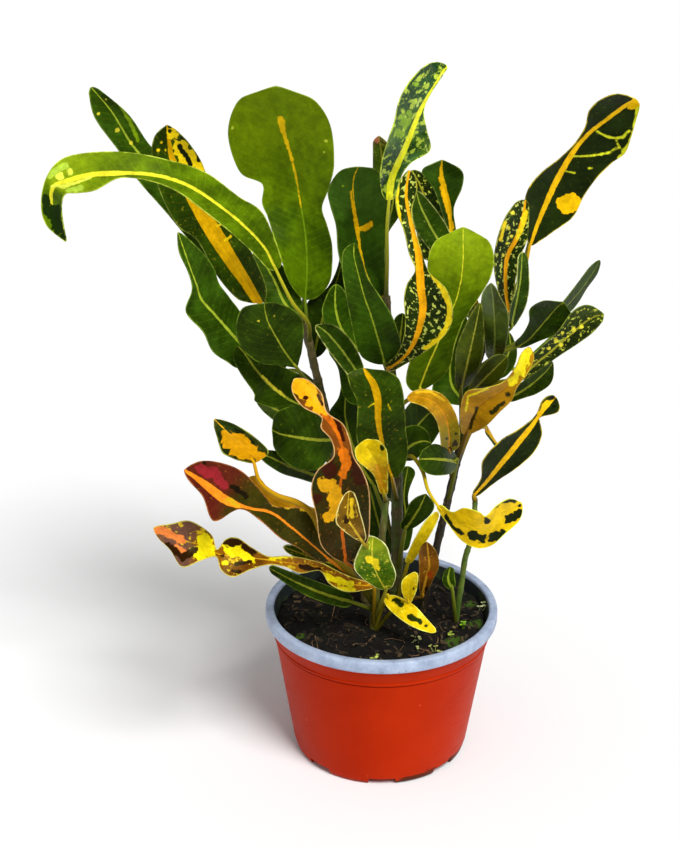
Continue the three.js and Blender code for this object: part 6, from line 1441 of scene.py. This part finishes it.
def blade_normals(leaf, u, s, middle):
    """Return the normals of a blade's middle surface at parts u and s: they keep to one side of
    it where it twists, and face the view's eye on the whole."""
    ahead, behind = (
        seen(leaf_surface(leaf, np.clip(u + step, 0, 1), s)) for step in (0.006, -0.006))
    right, left = (seen(leaf_surface(leaf, u, np.clip(s + step, -1, 1))) for step in (0.04, -0.04))
    normal = unit(np.cross(right - left, ahead - behind)).reshape(middle.shape)
    mean = unit(normal.mean(axis=1))
    turns = np.sign(np.einsum("ij,ij->i", mean[1:], mean[:-1]))
    normal *= np.concatenate(([1], np.cumprod(np.where(turns < 0, -1, 1))))[:, None, None]
    return normal if np.einsum("ijk,ijk->", normal, VIEW_EYE - middle) >= 0 else -normal


def blade_faces(rows, columns):
    """Return the faces of a blade: its face, its back and the rim between them."""
    grid = np.arange(rows * columns).reshape(rows, columns)
    under = grid + rows * columns
    rim = np.concatenate((grid[0], grid[1:, -1], grid[-1, -2::-1], grid[-2:0:-1, 0]))
    below = rim + rows * columns
    return np.concatenate((
        np.stack((grid[:-1, :-1], grid[:-1, 1:], grid[1:, 1:], grid[1:, :-1]), -1).reshape(-1, 4),
        np.stack((under[:-1, :-1], under[1:, :-1], under[1:, 1:], under[:-1, 1:]),
                 -1).reshape(-1, 4),
        np.stack((rim, below, np.roll(below, -1), np.roll(rim, -1)), -1)))


def make_stalk(leaf, long):
    """Return a stalk's points, its faces and the parts of its length where its rings stand. It
    runs from inside the stem to the base of the blade, which is long mm from end to end."""
    half = leaf["stalk_width"] / 2
    root = curve_at(stem_curve(STEMS[leaf["stem"]]), np.array([leaf["at"]]))
    into = seen(leaf_surface(leaf, np.array([0.0, min(0.12, 3.0 / long)]), np.zeros(2)))
    route = np.vstack([root] + ([seen(leaf["stalk"])] if leaf["stalk"] else []) + [into])
    places = np.linspace(0, 1, 8 * len(route))
    line = curve_at(route, places)
    from_stem = np.linalg.norm(line - root, axis=1)
    radii = (half + (STALK_TIP - half) * places**1.5) * (1 + 0.3 * np.exp(-from_stem / 4))
    rod, faces = tube(line, radii, STALK_SIDES)
    return rod, outward(rod, faces), places


def make_leaf(name, leaf, sizes, finish, number):
    """Grow one leaf: a thin closed blade with a sunk midrib above and a raised one below, and its
    stalk, rooted in the stem."""
    marks = MARKS.get(name, {})
    lined = any(is_line(mark) for word in PATCHES for mark in marks.get(word, ()))
    step = sizes.row_step * (0.6 if lined else 1.0)
    u, share, along_mm = row_places(leaf, step, leaf["stalk_width"] * 0.4)
    widest = np.hypot(*(leaf["left"] - leaf["right"]).T).max()
    half_count = int(np.clip(widest * PIXEL_MM / 2 / step, 4, 15)) + 2
    across = np.linspace(-1, 1, 2 * half_count + 1)
    across = np.sign(across) * np.abs(across) ** 1.25
    rows, columns = len(u), len(across)
    u_grid, s_grid = u[:, None], across[None, :] * share[:, None]
    pixels = leaf_surface(leaf, u_grid, s_grid)
    middle = seen(pixels).reshape(rows, columns, 3)
    normal = blade_normals(leaf, u_grid, s_grid, middle)
    # the way in mm from the midrib along each row, and from the nearest edge
    steps = np.linalg.norm(np.diff(middle, axis=1), axis=2)
    side = np.concatenate((np.zeros((rows, 1)), np.cumsum(steps, axis=1)), axis=1)
    side -= side[:, half_count:half_count + 1]
    edge = np.where(across < 0, side - side[:, :1], side[:, -1:] - side)
    edge = np.minimum(edge, (along_mm[-1] - along_mm)[:, None])
    fade = 1 - 0.7 * u_grid
    half = sizes.blade * (1 - 0.3 * across**2) / 2
    sunk = 0.22 * fade * np.exp(-(side / 0.7) ** 2)
    raised = 0.75 * fade * np.exp(-(side / 0.8) ** 2) * np.minimum(1, share[:, None] * 2)
    front = middle + normal * (half - np.minimum(sunk, half * 0.6))[..., None]
    back = middle - normal * (half + raised)[..., None]
    blade = np.vstack((front.reshape(-1, 3), back.reshape(-1, 3)))
    faces = outward(blade, [tuple(face) for face in blade_faces(rows, columns).tolist()])
    rod, rod_faces, places = make_stalk(leaf, along_mm[-1])
    faces += [tuple(v + len(blade) for v in face) for face in rod_faces]
    piece = make_piece(name, np.vstack((blade, rod)), faces, sharp=LEAF_CRISP)
    # the stalk takes its own colours, and lies far from every mark
    zero, one = np.zeros(rows * columns), np.ones(rows * columns)
    rod_zero, rod_one = np.zeros(len(rod)), np.ones(len(rod))
    rod_along = np.concatenate((np.repeat(places, STALK_SIDES), (0, 1)))
    rib_half = curve_at(marks.get("rib_mm", LOOKS[leaf["look"]]["rib_mm"]), u)
    tint = np.repeat(np.clip(curve_at(marks.get("tint", (0.3, 0.15, 0.2)), u), 0, 1), columns)
    gaps = {"rib": (np.abs(side) - rib_half).ravel(), "edge": edge.ravel()}
    gaps.update((word, gap_to(marks.get(word, ()), pixels[:, :2])) for word in PATCHES)
    store(piece, **{f"{word}_gap": np.concatenate((gap, gap, 9 * rod_one))
                    for word, gap in gaps.items()})
    store(piece, tint=np.concatenate((tint, tint, rod_along)),
          back=np.concatenate((zero, one, rod_zero)), stalk=np.concatenate((zero, zero, rod_one)))
    # leaves lie far apart on the map, so no two show the same patches
    flat = np.stack((np.broadcast_to(along_mm[:, None], side.shape), side), -1).reshape(-1, 2)
    rod_flat = np.column_stack((20 * rod_along, rod_zero))
    store_map(piece, "leaf_map", (np.vstack((flat, flat, rod_flat)) + (MAP_SPACE * number, 0)) * MM)
    piece.data.materials.append(finish)
    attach(piece, "root")
    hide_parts(leaf["stem"])


# ---------------------------------------------------------------- stage
# Sizes in mm. Lights shine down from a lean off straight down and a turn about +Z, and are as
# wide as their spread, in degrees.

FLOOR_REACH = 9000
FLOOR_DROP = 0.4
LIGHTS = (("key_light", "key", 38, 30, 24), ("fill_light", "fill", 30, -50, 60))
SENSOR_HEIGHT = 36.0


def make_stage(sizes):
    """Lay the pale floor, light it softly and stand the camera at the view."""
    corners = [(x * FLOOR_REACH, y * FLOOR_REACH, -FLOOR_DROP)
               for x, y in ((-1, -1), (1, -1), (1, 1), (-1, 1))]
    floor = make_piece("floor", corners, [(0, 1, 2, 3)])
    # matt painted board: it gives the picture an even pale ground with a soft contact shadow
    material, tree, shader = new_finish("Board, matt white paint", 0.9, 0.2)
    place = add(tree, "ShaderNodeTexCoord")["Object"]
    cloud = add(tree, "ShaderNodeTexNoise", {"Vector": place, "Scale": 1.5})["Fac"]
    base = coat(tree, (*sizes.floor_colour, 1.0), colour("d8d8d8"), cloud, 0.0, 1.0, most=0.02)
    tree.links.new(base, shader.inputs["Base Color"])
    floor.data.materials.append(material)
    scene = bpy.context.scene
    for name, strength, lean, turn, spread in LIGHTS:
        lamp = bpy.data.lights.new(name, "SUN")
        lamp.energy = getattr(sizes, strength)
        lamp.angle = math.radians(spread)
        item = bpy.data.objects.new(name, lamp)
        item.rotation_euler = (math.radians(lean), 0, math.radians(turn))
        scene.collection.objects.link(item)
    world = bpy.data.worlds.new("Studio")
    world.use_nodes = True
    tree = world.node_tree
    back = next(node for node in tree.nodes if node.type == "BACKGROUND")
    # the sky is seen as white as the floor, and lights the plant less, which keeps its shades deep
    path = add(tree, "ShaderNodeLightPath")["Is Camera Ray"]
    strength = add(tree, "ShaderNodeMapRange", {
        "Value": path, "To Min": sizes.sky, "To Max": 1.0})[0]
    tree.links.new(strength, back.inputs["Strength"])
    back.inputs["Color"].default_value = (1, 1, 1, 1)
    scene.world = world
    scene.view_settings.view_transform = "Standard"
    camera = bpy.data.cameras.new("view_camera")
    camera.sensor_fit = "VERTICAL"
    camera.sensor_height = SENSOR_HEIGHT
    camera.lens = VIEW_FOCAL / VIEW_HEIGHT * SENSOR_HEIGHT
    camera.clip_end = 100
    item = bpy.data.objects.new("view_camera", camera)
    item.location = VIEW_EYE * MM
    item.rotation_euler = (math.pi / 2 - VIEW_PITCH, 0, 0)
    scene.collection.objects.link(item)
    scene.camera = item


# ---------------------------------------------------------------- what a user may change


class CrotonPotSizes(bpy.types.PropertyGroup):
    """The pot's finish"""

    sides: IntProperty(
        name="Sides", description="Flat faces round the pot", default=120, min=24, max=360)
    wall_colour: FloatVectorProperty(
        name="Wall", description="Colour of the pot's wall", subtype="COLOR", size=3,
        default=colour("a62203")[:3], min=0, max=1)
    lip_colour: FloatVectorProperty(
        name="Lip", description="Colour of the pot's lip", subtype="COLOR", size=3,
        default=colour("b4c1d8")[:3], min=0, max=1)


class CrotonMixSizes(bpy.types.PropertyGroup):
    """The potting mix and what lies on it"""

    seed: IntProperty(name="Seed", description="Start of the random choices", default=7, min=0)
    lumps: IntProperty(
        name="Lumps", description="Lumps in the mix's surface", default=420, min=0, max=2000)
    chips: IntProperty(
        name="Chips", description="Bark chips on the mix", default=420, min=0, max=2000)
    fibres: IntProperty(
        name="Fibres", description="Root fibres on the mix", default=46, min=0, max=400)


class CrotonLeafSizes(bpy.types.PropertyGroup):
    """The stems and leaves"""

    row_step: FloatProperty(
        name="Row step", description="Space between a blade's rows of points, in mm",
        default=1.05, min=0.3, max=5)
    blade: FloatProperty(
        name="Blade", description="Thickness of a blade at its midrib, in mm", default=0.6,
        min=0.3, max=1.0)
    stem_step: FloatProperty(
        name="Stem step", description="Space between a stem's rings of points, in mm",
        default=0.8, min=0.3, max=5)
    gloss: FloatProperty(
        name="Roughness share", description="Share of each look's own roughness", default=1.0,
        min=0.3, max=2, subtype="FACTOR")


class CrotonStageSizes(bpy.types.PropertyGroup):
    """The studio"""

    key: FloatProperty(name="Key", description="Strength of the main light", default=3.3, min=0)
    fill: FloatProperty(name="Fill", description="Strength of the second light", default=0.3, min=0)
    sky: FloatProperty(name="Sky", description="Light from all round", default=0.3, min=0)
    floor_colour: FloatVectorProperty(
        name="Floor", description="Colour of the floor", subtype="COLOR", size=3,
        default=(0.86, 0.86, 0.86), min=0, max=1)


# ---------------------------------------------------------------- operators


class CROTON_OT_pot(bpy.types.Operator):
    """Turn, cut and dress the pot"""

    bl_idname = "croton.pot"
    bl_label = "Pot"

    def execute(self, context):
        make_pot(context.scene.croton_pot)
        return {"FINISHED"}


class CROTON_OT_mix(bpy.types.Operator):
    """Fill the pot with mix, and lay bark chips and fibres on it"""

    bl_idname = "croton.mix"
    bl_label = "Potting mix"

    def execute(self, context):
        sizes = context.scene.croton_mix
        make_litter(sizes, make_mix(sizes))
        return {"FINISHED"}


class CROTON_OT_seedlings(bpy.types.Operator):
    """Stand seedlings on the mix"""

    bl_idname = "croton.seedlings"
    bl_label = "Seedlings"

    def execute(self, context):
        make_seedlings(context.scene.croton_mix)
        return {"FINISHED"}


class CROTON_OT_stems(bpy.types.Operator):
    """Grow the stems"""

    bl_idname = "croton.stems"
    bl_label = "Stems"

    def execute(self, context):
        for name, stem in STEMS.items():
            make_stem(name, stem, context.scene.croton_leaf)
        return {"FINISHED"}


class CROTON_OT_leaves(bpy.types.Operator):
    """Grow every leaf with its stalk"""

    bl_idname = "croton.leaves"
    bl_label = "Leaves"

    def execute(self, context):
        sizes = context.scene.croton_leaf
        finishes = {}
        for number, (name, leaf) in enumerate(LEAVES.items()):
            word = leaf["look"]
            if word not in finishes:
                title = "Croton leaf, waxy, " + word.replace("_", " ")
                finishes[word] = leaf_finish(title, LOOKS[word], sizes.gloss)
            make_leaf(name, leaf, sizes, finishes[word], number)
        return {"FINISHED"}


class CROTON_OT_stage(bpy.types.Operator):
    """Set the floor, the lights and the camera"""

    bl_idname = "croton.stage"
    bl_label = "Stage"

    def execute(self, context):
        make_stage(context.scene.croton_stage)
        return {"FINISHED"}


class CROTON_PT_build(bpy.types.Panel):
    """The croton's steps in order, and its sizes"""

    bl_idname = "CROTON_PT_build"
    bl_label = "Potted croton"
    bl_space_type = "VIEW_3D"
    bl_region_type = "UI"
    bl_category = "Croton"

    def draw(self, context):
        for operator in OPERATORS:
            self.layout.operator(operator.bl_idname)
        for group in GROUPS:
            sizes = getattr(context.scene, group)
            box = self.layout.box()
            for word in sizes.__annotations__:
                box.prop(sizes, word)


GROUPS = {
    "croton_pot": CrotonPotSizes, "croton_mix": CrotonMixSizes, "croton_leaf": CrotonLeafSizes,
    "croton_stage": CrotonStageSizes,
}
OPERATORS = (CROTON_OT_pot, CROTON_OT_mix, CROTON_OT_seedlings, CROTON_OT_stems,
             CROTON_OT_leaves, CROTON_OT_stage)


def register():
    """Make the classes known, and hang each group of sizes on the scene."""
    for each in (*GROUPS.values(), *OPERATORS, CROTON_PT_build):
        bpy.utils.register_class(each)
    for word, group in GROUPS.items():
        setattr(bpy.types.Scene, word, PointerProperty(type=group))


def unregister():
    """Take everything that register made away again."""
    for word in GROUPS:
        delattr(bpy.types.Scene, word)
    for each in (CROTON_PT_build, *OPERATORS[::-1], *GROUPS.values()):
        bpy.utils.unregister_class(each)


def main():
    """Build the plant, its pot and the stage in order."""
    register()
    for operator in OPERATORS:
        group, step = operator.bl_idname.split(".")
        getattr(getattr(bpy.ops, group), step)()


if __name__ == "__main__":
    main()
